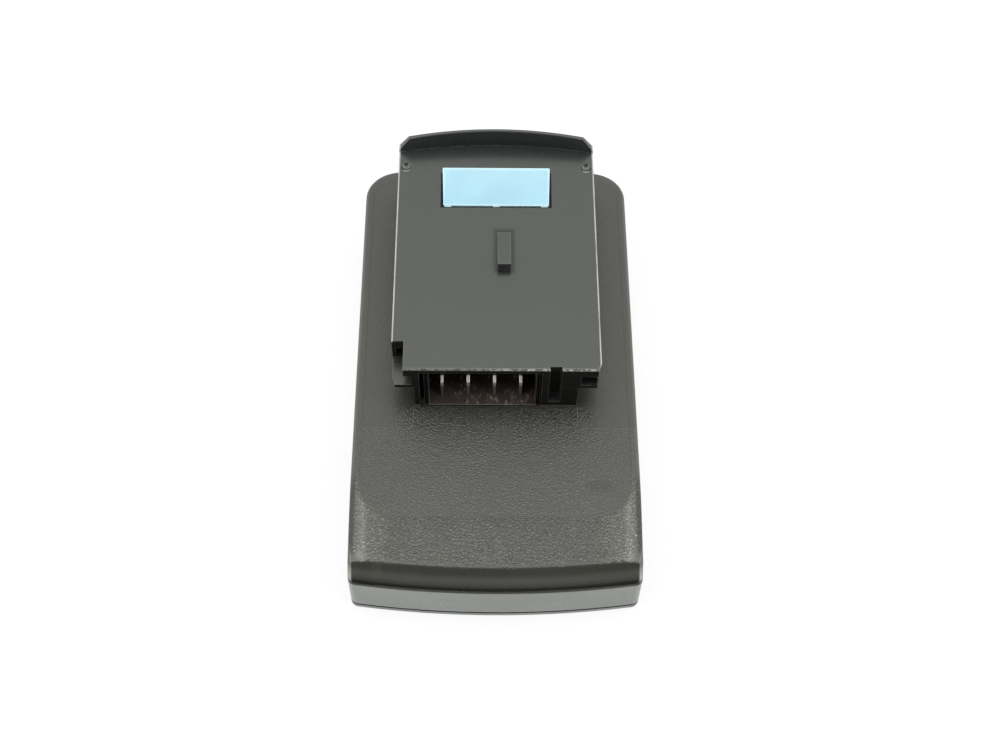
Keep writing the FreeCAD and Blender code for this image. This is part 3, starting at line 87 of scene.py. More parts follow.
# %% [markdown]
# Shader nodes are easier to read when one short line makes each of them. The first helper makes a node,
# sets it, and joins its inputs to values or to other sockets. The others are the small sums of which masks
# are made. A mask is a value between 0 and 1 that says how strongly something shows at a point.

# %% Helpers for shader nodes
def put(tree, kind, inputs=None, **settings):
    """A node with its settings, whose inputs are numbers, colours or other nodes' sockets."""
    made = tree.nodes.new("ShaderNode" + kind)
    for setting, value in settings.items():
        setattr(made, setting, value)
    for socket, value in (inputs or {}).items():
        if isinstance(value, bpy.types.NodeSocket):
            tree.links.new(value, made.inputs[socket])
        else:
            made.inputs[socket].default_value = value
    return made


def calc(tree, operation, *values):
    """A sum on one or two values."""
    return put(tree, "Math", dict(enumerate(values)), operation=operation).outputs[0]


def times(tree, first, *others):
    """Values multiplied together. Of masks, it is the place where all of them are."""
    for other in others:
        first = calc(tree, "MULTIPLY", first, other)
    return first


def plus(tree, first, *others):
    """Values added together."""
    for other in others:
        first = calc(tree, "ADD", first, other)
    return first


def greatest(tree, first, *others):
    """The greatest of some values. Of masks, it is the place where any of them is."""
    for other in others:
        first = calc(tree, "MAXIMUM", first, other)
    return first


def minus(tree, first, second):
    """One value less another."""
    return calc(tree, "SUBTRACT", first, second)


def without(tree, mask):
    """The place where a mask is not."""
    return minus(tree, 1.0, mask)


def step(tree, value, low, high, start=0.0, end=1.0):
    """A soft step from one level to another as the value goes from low to high."""
    inputs = {"Value": value, "From Min": low, "From Max": high, "To Min": start, "To Max": end}
    return put(tree, "MapRange", inputs, interpolation_type="SMOOTHSTEP").outputs[0]


def fade(tree, value, low, high):
    """1 up to the low limit, and softly down to 0 at the high one."""
    return step(tree, value, low, high, 1.0, 0.0)


def band(tree, value, low, high, soft):
    """1 between two limits and 0 outside them."""
    return times(tree, step(tree, value, low - soft, low + soft), fade(tree, value, high - soft, high + soft))


def split(tree, vector):
    """The X, Y and Z of a vector."""
    return put(tree, "SeparateXYZ", {0: vector}).outputs


def facing(tree):
    """The X, Y and Z of the direction that the surface faces."""
    return split(tree, put(tree, "NewGeometry").outputs["Normal"])


def in_units(tree, vector, unit):
    """A vector counted in a unit of length, which comes from a socket."""
    per_unit = calc(tree, "DIVIDE", 1.0, unit)
    return put(tree, "VectorMath", {0: vector, "Scale": per_unit}, operation="SCALE").outputs[0]


def noise(tree, vector, size, detail):
    """Soft noise whose spots are about one size."""
    return put(tree, "TexNoise", {"Vector": vector, "Scale": 1 / size, "Detail": detail}).outputs["Fac"]


def distance(tree, across, along):
    """The straight distance that two distances at right angles make."""
    return calc(tree, "SQRT", plus(tree, times(tree, across, across), times(tree, along, along)))


def outside_box(tree, x, y, middle, half):
    """How far a point lies outside a rectangle, seen from above. It is negative inside."""
    beside_x = minus(tree, calc(tree, "ABSOLUTE", minus(tree, x, middle[0])), half[0])
    beside_y = minus(tree, calc(tree, "ABSOLUTE", minus(tree, y, middle[1])), half[1])
    return greatest(tree, beside_x, beside_y)


def blend_colour(tree, share, first, second, how="MIX"):
    """Two colours mixed by a share."""
    return put(tree, "Mix", {0: share, 6: first, 7: second}, data_type="RGBA", blend_type=how).outputs[2]


def blend_value(tree, share, first, second):
    """Two values mixed by a share."""
    return put(tree, "Mix", {0: share, 2: first, 3: second}, data_type="FLOAT").outputs[0]


def painted(tree, colour, *layers):
    """A colour with layers over it, each given by its mask, its strength and its own colour."""
    for mask, strength, layer in layers:
        colour = blend_colour(tree, times(tree, mask, strength), colour, layer)
    return colour


def rgb(red, green, blue):
    """A colour from the 0 to 255 scale of a picture, made linear."""
    def linear(value):
        value /= 255
        return value / 12.92 if value <= 0.04045 else ((value + 0.055) / 1.055) ** 2.4
    return (linear(red), linear(green), linear(blue), 1.0)


def shade(colour, factor):
    """A colour made darker or lighter."""
    return tuple(min(1.0, channel * factor) for channel in colour[:3]) + (1.0,)


def new_group(name, inputs, outputs):
    """A shader node group with named inputs and outputs, and the sockets inside it."""
    tree = bpy.data.node_groups.new(name, "ShaderNodeTree")
    for label, kind, value in inputs:
        socket = tree.interface.new_socket(label, in_out="INPUT", socket_type="NodeSocket" + kind)
        if value is not None:
            socket.default_value = value
    for label, kind in outputs:
        tree.interface.new_socket(label, in_out="OUTPUT", socket_type="NodeSocket" + kind)
    return tree, tree.nodes.new("NodeGroupInput").outputs, tree.nodes.new("NodeGroupOutput").inputs


def use(tree, group, **inputs):
    """A group placed in a material, with its values."""
    made = tree.nodes.new("ShaderNodeGroup")
    made.node_tree = group
    for socket, value in inputs.items():
        if isinstance(value, bpy.types.NodeSocket):
            tree.links.new(value, made.inputs[socket])
        else:
            made.inputs[socket].default_value = value
    return made.outputs


# %% [markdown]
# Moulded plastic takes its grain from the steel mould, which is etched. Up close it is a field of rounded
# pebbles of uneven size with fine creases between them. Voronoi cells give the pebbles, and noise bends
# their outlines and roughens their tops. One group makes it for every plastic here, at its own scale.

# %% Group: mould grain
grain_group, g_in, g_out = new_group(
    "Mould grain", (("Vector", "Vector", None), ("Pebble", "Float", 1 * MM), ("Bend", "Float", 0.35)),
    (("Height", "Float"), ("Crease", "Float")))
t = grain_group
scaled = in_units(t, g_in["Vector"], g_in["Pebble"])
bender = put(t, "TexNoise", {"Vector": scaled, "Scale": 0.9, "Detail": 1.0}).outputs["Color"]
centred = put(t, "VectorMath", {0: bender, 1: (0.5, 0.5, 0.5)}, operation="SUBTRACT").outputs[0]
shift = put(t, "VectorMath", {0: centred, "Scale": g_in["Bend"]}, operation="SCALE").outputs[0]
bent = put(t, "VectorMath", {0: scaled, 1: shift}, operation="ADD").outputs[0]
pebbles = put(t, "TexVoronoi", {"Vector": bent, "Scale": 1.0}, feature="DISTANCE_TO_EDGE")
from_edge = pebbles.outputs["Distance"]
tops = put(t, "TexNoise", {"Vector": scaled, "Scale": 2.6, "Detail": 2.0}).outputs["Fac"]
t.links.new(plus(t, times(t, step(t, from_edge, 0.0, 0.30), 0.7), times(t, tops, 0.5)), g_out["Height"])
t.links.new(fade(t, from_edge, 0.0, 0.12), g_out["Crease"])
print("group:", grain_group.name)

# %% [markdown]
# Handling polishes and scuffs the edges of a moulding, so they look a little lighter than its faces. The
# Bevel node looks round each point: where its rounded normal leaves the true one, an edge is near. Noise
# breaks the line up, because wear is never even.

# %% Group: edge wear
wear_group, g_in, g_out = new_group(
    "Edge wear", (("Vector", "Vector", None), ("Reach", "Float", 0.3 * MM), ("Patch", "Float", 6 * MM),
                  ("Amount", "Float", 0.6)),
    (("Mask", "Float"),))
t = wear_group
true_normal = put(t, "NewGeometry").outputs["Normal"]
round_normal = put(t, "Bevel", {"Radius": g_in["Reach"]}, samples=4).outputs[0]
likeness = put(t, "VectorMath", {0: true_normal, 1: round_normal}, operation="DOT_PRODUCT").outputs["Value"]
edge = step(t, without(t, likeness), 0.015, 0.16)
patch_place = in_units(t, g_in["Vector"], g_in["Patch"])
patches = put(t, "TexNoise", {"Vector": patch_place, "Scale": 1.0, "Detail": 4.0}).outputs["Fac"]
t.links.new(times(t, edge, step(t, patches, 0.30, 0.62, 0.35, 1.0), g_in["Amount"]), g_out["Mask"])
print("group:", wear_group.name)

# %% [markdown]
# A few specks of dust and lint lie on every dark plastic part. Small random cells, of which only a few light
# up, give the specks. Each speck has its own size, which follows from the same random number.

# %% Group: dust
dust_group, g_in, g_out = new_group(
    "Dust", (("Vector", "Vector", None), ("Cell", "Float", 3 * MM), ("Speck", "Float", 0.06),
             ("Share", "Float", 0.12)),
    (("Mask", "Float"),))
t = dust_group
cell_place = in_units(t, g_in["Vector"], g_in["Cell"])
cells = put(t, "TexVoronoi", {"Vector": cell_place, "Scale": 1.0}, feature="F1")
chance = put(t, "SeparateColor", {0: cells.outputs["Color"]}).outputs[0]
lit = calc(t, "LESS_THAN", chance, g_in["Share"])
size_of_speck = times(t, g_in["Speck"], plus(t, chance, 0.8))
dot = calc(t, "LESS_THAN", cells.outputs["Distance"], size_of_speck)
t.links.new(times(t, lit, dot), g_out["Mask"])
print("group:", dust_group.name)

# %% [markdown]
# Each material starts from the same few lines: an empty tree, the Object coordinates, which here are real
# metres on the real part, and the Principled shader. A relief only shades the surface. Every shape that can
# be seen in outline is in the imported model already.

# %% Helpers: start a material
def new_material(name):
    """An empty material with its tree, the place on the object, and its Principled shader."""
    material = bpy.data.materials.new(name)
    material.use_nodes = True
    tree = material.node_tree
    tree.nodes.clear()
    place = put(tree, "TexCoord").outputs["Object"]
    shader = tree.nodes.new("ShaderNodeBsdfPrincipled")
    output = tree.nodes.new("ShaderNodeOutputMaterial")
    tree.links.new(shader.outputs[0], output.inputs["Surface"])
    return material, tree, place, shader


def join(tree, value, shader, socket):
    """Joins a socket to one of the shader's inputs."""
    tree.links.new(value, shader.inputs[socket])


def join_relief(tree, height, shader, depth, strength=1.0):
    """Lets a height shade the surface as if it were that deep."""
    relief = put(tree, "Bump", {"Height": height, "Distance": depth, "Strength": strength})
    join(tree, relief.outputs[0], shader, "Normal")


# %% [markdown]
# The plastic is nearly black. What the eye takes for its grey is mostly the sheen of the lamps, so the sheen
# is set with care. The casing's plastic is filled with glass fibre and reflects more than a common one, and
# its sheen is a little warm. This is the same all over, so it goes straight onto the shader's own inputs.
#
# Some places are dull: creases, joints, the shaded front of the tower. A metal reflects only in its own
# colour, so a nearly black metal reflects almost nothing. A share of Metallic where the colour is nearly
# black takes the sheen away there, and an exported model keeps it. No plastic piece is meant to be metal.

# %% Helper: satin skin
def satin_skin(shader):
    """The sheen of the casing's dark plastic."""
    shader.inputs["IOR"].default_value = 1.52
    shader.inputs["Specular IOR Level"].default_value = 1.0
    shader.inputs["Specular Tint"].default_value = (0.98, 1.0, 0.92, 1.0)


# %% [markdown]
# The housing is one moulding with several finishes, because the mould was etched in zones. The tower and
# the slide plate are satin. The body beside the tower has a fine grain. The grain turns coarse, like
# leather, close before the tower and everywhere in front of a line just ahead of it. Beyond the flat plateau
# the nose slopes down to its corners, where the grain is deepest. The bevel across the nose is plain, and so
# are the upright walls below it, which are painted paler: a lit copy of the same plastic, standing in for the
# light they catch from the white floor. Painted zones would need an image, so the material asks instead
# where a point is, in real millimetres, and builds a mask for each zone from that.

# %% Housing plastic: the zones
WALL_TOP = 15.2 * MM            # heights above the table
SHOULDER = 19.45 * MM
TOWER_FOOT = 23.4 * MM
PLATE_TOP = 42.0 * MM
PLATEAU_SIDE = 36.7 * MM        # distance from the middle, sideways
PLATEAU_FRONT = -50.9 * MM      # places along the pack, which are negative towards the nose
PLATEAU_CORNER = 10 * MM
LEATHER_LINE = -24.0 * MM
NOSE_START = (-45.0 * MM, -34.0 * MM)
BEFORE_TOWER = (-18.0 * MM, -16.5 * MM)
BEFORE_TOWER_SIDE = (24.0 * MM, 31.0 * MM)
CORNER_RISE = (25.0 * MM, 36.3 * MM)
CORNER_FALL = (36.9 * MM, 38.0 * MM)
CORNER_BAND = (34.4 * MM, 36.4 * MM)
LIMIT = 0.2 * MM                # half the width of a clean limit between two zones

housing_plastic, t, place, shader = new_material("housing plastic")
x, y, z = split(t, place)
facing_y = facing(t)["Y"]
from_middle = calc(t, "ABSOLUTE", x)

on_tower = step(t, z, TOWER_FOOT - LIMIT, TOWER_FOOT + LIMIT)
under_shoulder = fade(t, z, SHOULDER - LIMIT, SHOULDER + LIMIT)
on_wall = fade(t, z, WALL_TOP - 1.0 * MM, WALL_TOP)
plain = greatest(t, on_tower, under_shoulder)
etched = without(t, plain)
# painted shade: the tower's front face is painted near black
shaded_tower_front = times(t, on_tower, fade(t, facing_y, -0.9, -0.6),
                    fade(t, z, PLATE_TOP - 0.8 * MM, PLATE_TOP - 0.4 * MM))

before_tower = times(t, fade(t, y, *BEFORE_TOWER), fade(t, from_middle, *BEFORE_TOWER_SIDE))
leather = greatest(t, fade(t, y, LEATHER_LINE - 0.6 * MM, LEATHER_LINE + 0.6 * MM), before_tower)

past_x = greatest(t, minus(t, from_middle, PLATEAU_SIDE - PLATEAU_CORNER), 0.0)
past_y = greatest(t, minus(t, PLATEAU_FRONT + PLATEAU_CORNER, y), 0.0)
off_plateau = step(t, distance(t, past_x, past_y), PLATEAU_CORNER - 0.5 * MM, PLATEAU_CORNER + 0.7 * MM)
nose = times(t, fade(t, y, *NOSE_START), without(t, under_shoulder))
slope = times(t, nose, off_plateau)
corners = times(t, slope, step(t, from_middle, *CORNER_RISE), fade(t, from_middle, *CORNER_FALL))
corner_band = times(t, corners, band(t, from_middle, *CORNER_BAND, 0.8 * MM))
print("housing plastic: zones ready")

# %% [markdown]
# The relief comes next. Each zone has its own grain, deeper on the slope and deepest at its corners. Where
# the etched zones meet, the mould has left thin witness lines: one across the pack, and two short ones from
# it back to the tower. They stand up by a few hundredths of a millimetre, so shading them is enough.

# %% Housing plastic: the relief
FINE_PEBBLE = 0.5 * MM
LEATHER_PEBBLE = 0.82 * MM
LEATHER_BEND = 0.9
RELIEF_DEPTH = 0.11 * MM
LINE_SOFT = 0.06 * MM
TOWER_SIDE = 22.3 * MM
CROSS_LINE_END = 36.6 * MM
SHORT_LINE = (22.35 * MM, 22.55 * MM)
SHORT_LINE_END = -17.2 * MM

fine_grain = use(t, grain_group, Vector=place, Pebble=FINE_PEBBLE)
leather_grain = use(t, grain_group, Vector=place, Pebble=LEATHER_PEBBLE, Bend=LEATHER_BEND)
satin = noise(t, place, 0.35 * MM, 2.0)
depth = plus(t, 0.75, times(t, slope, 0.35), times(t, corners, 1.6))
grain = blend_value(t, leather, times(t, fine_grain["Height"], 0.45), leather_grain["Height"])
grain = times(t, grain, depth, step(t, z, SHOULDER - LIMIT, SHOULDER + 0.8 * MM))
height = blend_value(t, plain, grain, times(t, satin, 0.05))

cross_line = times(t, band(t, y, LEATHER_LINE - 0.10 * MM, LEATHER_LINE + 0.10 * MM, LINE_SOFT),
                   calc(t, "GREATER_THAN", from_middle, TOWER_SIDE),
                   calc(t, "LESS_THAN", from_middle, CROSS_LINE_END))
short_lines = times(t, band(t, from_middle, *SHORT_LINE, LINE_SOFT),
                    band(t, y, LEATHER_LINE, SHORT_LINE_END, 0.1 * MM))
witness = times(t, greatest(t, cross_line, short_lines), etched)
join_relief(t, plus(t, height, times(t, witness, 0.35)), shader, RELIEF_DEPTH)
print("housing plastic: relief ready")

# %% [markdown]
# Small places have their own marks. The bevel across the nose gets a band of painted reflection and painted
# highlights at its ends. The window's edge and the rib's foot are painted dark as shade, because little light
# gets in, and the two dimples get a painted glint on their rear side. Something has left a dull smudge near
# the right front, with a ragged outline: the distance from its middle, disturbed by the grain, gives that.

# %% Housing plastic: small places
BEVEL_BAND = (16.6 * MM, 18.0 * MM)
BEVEL_HEIGHTS = (15.6 * MM, 19.6 * MM)
BEVEL_ENDS = (37.6 * MM, 38.4 * MM)
NOSE_FRONT = (-66.0 * MM, -62.0 * MM)
WINDOW_MIDDLE = (0.0, 43.35 * MM)
WINDOW_HALF = (15.55 * MM, 6.05 * MM)
RIB_MIDDLE = (2.25 * MM, 21.95 * MM)
RIB_HALF = (1.85 * MM, 6.55 * MM)
DIMPLE = (26 * MM, 51.6 * MM)
SMUDGE = Vector((27.9, -41.9, 22.5)) * MM
SMUDGE_SQUEEZE = (1.0, 1.7, 1.0)

# painted reflection: a paler band across the middle of the bevel
painted_bevel_reflection = times(t, under_shoulder, band(t, z, *BEVEL_BAND, 0.6 * MM))
# painted highlights at the bevel's ends
painted_bevel_highlights = times(t, band(t, z, *BEVEL_HEIGHTS, 0.3 * MM), step(t, from_middle, *BEVEL_ENDS),
                   fade(t, y, *NOSE_FRONT))

from_window = outside_box(t, x, y, WINDOW_MIDDLE, WINDOW_HALF)
# painted shade along the window's edge
shaded_window_edge = times(t, fade(t, from_window, 0.10 * MM, 0.42 * MM),
                    step(t, z, PLATE_TOP - 2.5 * MM, PLATE_TOP - 2.4 * MM))
from_rib = outside_box(t, x, y, RIB_MIDDLE, RIB_HALF)
# painted shade round the rib's foot
shaded_rib_foot = times(t, fade(t, from_rib, 0.1 * MM, 1.8 * MM), step(t, from_rib, -0.1 * MM, 0.05 * MM),
                 band(t, z, PLATE_TOP - 0.3 * MM, PLATE_TOP + 0.05 * MM, 0.03 * MM))
from_dimple = distance(t, minus(t, from_middle, DIMPLE[0]), minus(t, y, DIMPLE[1]))
# painted glint on the rear side of each dimple
dimple_glint = times(t, fade(t, from_dimple, 1.3 * MM, 1.6 * MM), step(t, facing_y, 0.15, 0.55))

smudge_place = put(t, "VectorMath", {0: place, 1: SMUDGE}, operation="SUBTRACT").outputs[0]
smudge_place = put(t, "VectorMath", {0: smudge_place, 1: SMUDGE_SQUEEZE}, operation="MULTIPLY").outputs[0]
from_smudge = put(t, "VectorMath", {0: smudge_place}, operation="LENGTH").outputs["Value"]
ragged = plus(t, from_smudge, times(t, leather_grain["Height"], 2.5 * MM))
smudge = step(t, ragged, 3.0 * MM, 6.5 * MM, 0.6, 0.0)
print("housing plastic: small places ready")

# %% [markdown]
# Use leaves its own traces. The tool has rubbed the slide plate's long edges and its front edge pale, partly
# as wear and partly as a painted highlight on the rounded rim. All other edges are a little worn, and the
# raised grain of the nose gets painted glints, most at its corners. Noise along each rubbed edge breaks its
# line up, more at the front edge, where the tool's foot catches first.

# %% Housing plastic: wear and painted glints
PLATE_SIDE = (27.65 * MM, 27.95 * MM)
PLATE_FRONT = (16.62 * MM, 16.95 * MM)      # distance ahead of the middle
PLATE_RIM = (41.15 * MM, 41.45 * MM)

wear = use(t, wear_group, Vector=place, Reach=0.3 * MM, Patch=1.6 * MM, Amount=0.8)["Mask"]
on_rim = step(t, z, *PLATE_RIM)
long_edges = times(t, step(t, from_middle, *PLATE_SIDE), on_rim,
                   step(t, noise(t, place, 9 * MM, 2.0), 0.25, 0.55, 0.45, 0.85))
front_edge = times(t, step(t, times(t, y, -1.0), *PLATE_FRONT), on_rim,
                   step(t, noise(t, place, 0.9 * MM, 3.0), 0.44, 0.62, 0.1, 0.9),
                   step(t, x, -12.0 * MM, 14.0 * MM, 0.35, 1.0))
# partly wear, partly a painted highlight along the plate's rounded rims
rubbed_and_highlit_edges = greatest(t, long_edges, front_edge)

# painted glints on the tops of the nose's grain
glitter = step(t, noise(t, place, 0.42 * MM, 2.0), 0.50, 0.68)
glint_strength = plus(t, 0.03, times(t, slope, 0.04), times(t, before_tower, 0.06), times(t, corners, 0.50),
              times(t, corner_band, 0.35))
painted_glints = times(t, glitter, step(t, leather_grain["Height"], 0.45, 0.80), glint_strength, etched)
dust = use(t, dust_group, Vector=place, Cell=4.5 * MM, Speck=0.035, Share=0.06)["Mask"]
dust = times(t, dust, without(t, under_shoulder))
print("housing plastic: wear ready")

# %% [markdown]
# The colour is painted in layers, like a model maker's: first the plastic of each zone, a little blotchy, and
# then one layer after the other with its mask, its strength and its own colour. The order counts, because
# each layer covers those before it.

# %% Housing plastic: the colour
BODY = rgb(29, 29, 25)
LEATHER = rgb(38, 38, 33)
TOWER = rgb(41, 44, 43)
# painted light: the upright walls are a paler copy of the same plastic, for the floor's light on them
LIT_WALL = rgb(95, 99, 96)
BLOTCH_TINT = (0.6, 0.6, 0.59, 1.0)

blotches = noise(t, place, 22 * MM, 3.0)
colour = blend_colour(t, on_tower, blend_colour(t, leather, BODY, LEATHER), TOWER)
# painted light on the upright walls
colour = blend_colour(t, on_wall, colour, LIT_WALL)
colour = blend_colour(t, step(t, blotches, 0.35, 0.65, 0.0, 0.22), colour,
                      blend_colour(t, 1.0, colour, BLOTCH_TINT, "MULTIPLY"))
# painted shade: the grain's creases are darkened, as if shade fell in them
crease_shade = times(t, etched, blend_value(t, leather, fine_grain["Crease"], leather_grain["Crease"]))
# painted highlight: the nose corners are painted paler, standing in for the light they catch
painted_corner_light = plus(t, times(t, corners, 0.18), times(t, corner_band, 0.16))
colour = painted(
    t, colour,
    # painted shade in the grain's creases
    (crease_shade, 0.45, rgb(14, 14, 13)),
    # painted glints on the nose's grain
    (painted_glints, 1.0, rgb(176, 178, 164)),
    # painted highlight on the nose corners
    (painted_corner_light, 1.0, rgb(150, 151, 138)),
    # painted reflection on the bevel
    (painted_bevel_reflection, 0.5, rgb(72, 73, 68)),
    # painted shade on the tower's front
    (shaded_tower_front, 1.0, rgb(10, 10, 9)),
    # painted highlights at the bevel's ends
    (painted_bevel_highlights, 0.6, rgb(168, 170, 163)),
    (smudge, 1.0, rgb(14, 14, 13)),
    (wear, 1.0, rgb(120, 121, 116)),
    # partly wear, partly a painted highlight on the plate's rims
    (rubbed_and_highlit_edges, 1.0, rgb(168, 169, 166)),
    # painted shade at the window's edge
    (shaded_window_edge, 1.0, rgb(8, 14, 17)),
    # painted shade round the rib's foot
    (shaded_rib_foot, 0.5, rgb(10, 10, 10)),
    # painted glint in the dimples
    (dimple_glint, 0.8, rgb(200, 201, 198)),
    (witness, 0.12, rgb(110, 110, 106)),
    (dust, 0.6, rgb(205, 202, 195)))
join(t, colour, shader, "Base Color")
print("housing plastic: colour ready")

# %% [markdown]
# The sheen comes last. The satin zones are smoother than the etched ones. The dull places are the front of
# the tower, the edge of the plateau, the brow above the walls, the window's edge, the rib's foot, the outer
# rims of the nose and the creases of the grain, each with its own strength. Where two of them overlap, the
# stronger one counts.

# %% Housing plastic: the sheen
BROW = (14.8 * MM, 16.1 * MM)
PLATEAU_EDGE_WIDTH = 0.3 * MM
PLATEAU_EDGE = (-46.0 * MM, 57.0 * MM)
NOSE_RIM = (36.9 * MM, 37.9 * MM)

satin_skin(shader)
rough = plus(t, blend_value(t, plain, 0.33, 0.25), times(t, step(t, blotches, 0.3, 0.7), 0.06),
             times(t, shaded_tower_front, 0.3), times(t, smudge, 0.25))
join(t, rough, shader, "Roughness")

plateau_edge = times(t, band(t, from_middle, PLATEAU_SIDE - PLATEAU_EDGE_WIDTH, PLATEAU_SIDE, 0.2 * MM),
                     band(t, y, *PLATEAU_EDGE, 2.0 * MM), etched)
brow = times(t, band(t, z, *BROW, 0.25 * MM), fade(t, facing_y, -0.5, -0.3))
nose_rims = times(t, nose, step(t, from_middle, *NOSE_RIM))
dull = greatest(t, times(t, shaded_tower_front, 0.80), times(t, plateau_edge, 0.22), times(t, brow, 0.65),
                times(t, shaded_window_edge, 0.85), times(t, shaded_rib_foot, 0.35), times(t, nose_rims, 0.45),
                times(t, crease_shade, plus(t, 0.10, times(t, slope, 0.15))))
join(t, dull, shader, "Metallic")
print("material:", housing_plastic.name)

# %% [markdown]
# The other mouldings are simpler: one colour, a grain with painted shade in its creases, a little
# blotchiness and worn edges. A function makes them, with the values that set one plastic apart from the next.

# %% Helper: plain moulded plastic
def moulded(name, colour, roughness, pebble, depth, edge_colour, wear_amount=0.5, dust_share=0.05):
    """Moulded plastic with a grain, painted shade in its creases, soft blotches, paler worn edges and a
    little dust.
    """
    material, tree, place, shader = new_material(name)
    grain = use(tree, grain_group, Vector=place, Pebble=pebble)
    cloud = noise(tree, place, 12 * MM, 3.0)
    worn = use(tree, wear_group, Vector=place, Amount=wear_amount)["Mask"]
    specks = use(tree, dust_group, Vector=place, Share=dust_share)["Mask"]
    darker = shade(colour, 0.72)
    tint = blend_colour(tree, step(tree, cloud, 0.3, 0.7, 0.0, 0.35), colour, darker)
    # painted shade in the grain's creases; the worn edges and dust are real marks
    tint = painted(tree, tint, (grain["Crease"], 0.12, darker), (worn, 1.0, edge_colour),
                   (specks, 0.6, rgb(200, 198, 190)))
    join(tree, tint, shader, "Base Color")
    join(tree, plus(tree, roughness, times(tree, cloud, 0.10)), shader, "Roughness")
    join_relief(tree, grain["Height"], shader, depth)
    print("material:", name)
    return material


# %% [markdown]
# Eight of the pack's materials are made this way: cell holders, plugs, component cases, fish paper, printed
# film, foam, the cells' sleeves and the sensor's bead. They differ in colour, gloss and grain, so a table
# with one row each says all there is to say. Paper, film and foam have less edge wear than hard plastic.

# %% Materials: the plastics
PLASTICS = {
    "inner_plastic": moulded("inner plastic", rgb(38, 38, 38), 0.48, 0.6 * MM, 0.01 * MM, rgb(70, 70, 70)),
    "connector_plastic": moulded("connector plastic", rgb(226, 222, 205), 0.38, 0.5 * MM, 0.006 * MM,
                                 rgb(240, 238, 228)),
    "component_case": moulded("component case", rgb(30, 30, 31), 0.55, 0.12 * MM, 0.006 * MM,
                              rgb(56, 56, 58)),
    "insulation_paper": moulded("insulation paper", rgb(205, 196, 158), 0.85, 0.25 * MM, 0.02 * MM,
                                rgb(222, 216, 190), 0.3),
    "flex_film": moulded("flex film", rgb(190, 118, 40), 0.25, 1.5 * MM, 0.004 * MM, rgb(210, 150, 80), 0.3),
    "foam": moulded("foam", rgb(52, 52, 52), 0.95, 0.45 * MM, 0.12 * MM, rgb(70, 70, 70), 0.2),
    "cell_can": moulded("cell sleeve", rgb(26, 30, 40), 0.28, 3.0 * MM, 0.004 * MM, rgb(70, 78, 92), 0.3),
    "thermistor_glass": moulded("thermistor bead", rgb(44, 34, 28), 0.15, 0.8 * MM, 0.004 * MM,
                                rgb(70, 60, 52)),
}

# %% [markdown]
# The latch is a light blue moulding. A paler border runs round the catch inside the window, a painted
# highlight on its rounded edges, so the blue looks a little deeper in the middle. The top is also a little
# lighter up the ramp, towards its raised rear. The distance from the window's outline gives that border.

# %% Material: latch plastic
PALE_BORDER = 0.85 * MM
BORDER_SOFT = 0.3 * MM

latch_plastic, t, place, shader = new_material("latch plastic")
x, y, z = split(t, place)
grain = use(t, grain_group, Vector=place, Pebble=0.6 * MM)
clouds = noise(t, place, 9 * MM, 3.0)
up_the_ramp = step(t, y, WINDOW_MIDDLE[1] - WINDOW_HALF[1], WINDOW_MIDDLE[1] + WINDOW_HALF[1])
# painted highlight: a paler border round the catch's edges
highlight_border = step(t, outside_box(t, x, y, WINDOW_MIDDLE, WINDOW_HALF),
              -PALE_BORDER - BORDER_SOFT, -PALE_BORDER + BORDER_SOFT)
wear = use(t, wear_group, Vector=place, Reach=0.4 * MM, Patch=5 * MM, Amount=0.6)["Mask"]
specks = use(t, dust_group, Vector=place, Share=0.03)["Mask"]
colour = blend_colour(t, step(t, clouds, 0.3, 0.7), rgb(152, 196, 211), rgb(146, 188, 206))
colour = painted(
    t, colour,
    (up_the_ramp, 0.4, rgb(164, 203, 214)),
    # painted highlight round the catch's edges
    (highlight_border, 0.8, rgb(182, 214, 220)),
    (wear, 1.0, rgb(202, 230, 234)),
    (specks, 0.5, rgb(205, 203, 196)))
join(t, colour, shader, "Base Color")
join(t, plus(t, 0.32, times(t, clouds, 0.10)), shader, "Roughness")
join_relief(t, grain["Height"], shader, 0.004 * MM)
print("material:", latch_plastic.name)

# %% [markdown]
# The cover is painted the same paler grey as the walls above it, which stands in for the light that its
# upright faces catch from the white floor. Its upper edge lies in the joint with the housing, and a strip
# there is painted dark as shade, because little light gets in.

# %% Material: cover plastic
JOINT = 1.8 * MM
JOINT_SOFT = 0.12 * MM

cover_plastic, t, place, shader = new_material("cover plastic")
grain = use(t, grain_group, Vector=place, Pebble=0.5 * MM)
clouds = noise(t, place, 14 * MM, 3.0)
wear = use(t, wear_group, Vector=place, Reach=0.3 * MM, Patch=4 * MM, Amount=0.5)["Mask"]
# painted shade: the strip of the cover next to the joint
shaded_joint = step(t, split(t, place)["Z"], JOINT - JOINT_SOFT, JOINT)
# painted light: the same paler grey as the walls, for the floor's light on the upright faces
colour = blend_colour(t, step(t, clouds, 0.3, 0.7), rgb(98, 102, 99), rgb(87, 91, 88))
colour = painted(t, colour, (wear, 1.0, rgb(140, 142, 138)), (shaded_joint, 1.0, rgb(10, 10, 10)))
join(t, colour, shader, "Base Color")
satin_skin(shader)
join(t, plus(t, 0.28, times(t, clouds, 0.12)), shader, "Roughness")
join(t, times(t, shaded_joint, 0.9), shader, "Metallic")
join_relief(t, grain["Height"], shader, 0.01 * MM)
print("material:", cover_plastic.name)

# %% [markdown]
# The terminal block is black, filled with glass fibre and a little shiny. It is painted a lighter brown-grey,
# which stands in for the light that reaches into its deep cavity, and the ends of its walls, which face
# forward, are painted black as shade. Its floor has been rubbed by the contacts of many tools, and fine dust
# has settled on it. Stretched noise on the faces that look up makes those pale scuffs.

# %% Material: terminal plastic
BLOCK_FLOOR = 23.7 * MM
ALONG_THE_BLADES = (1.0, 0.45, 1.0)

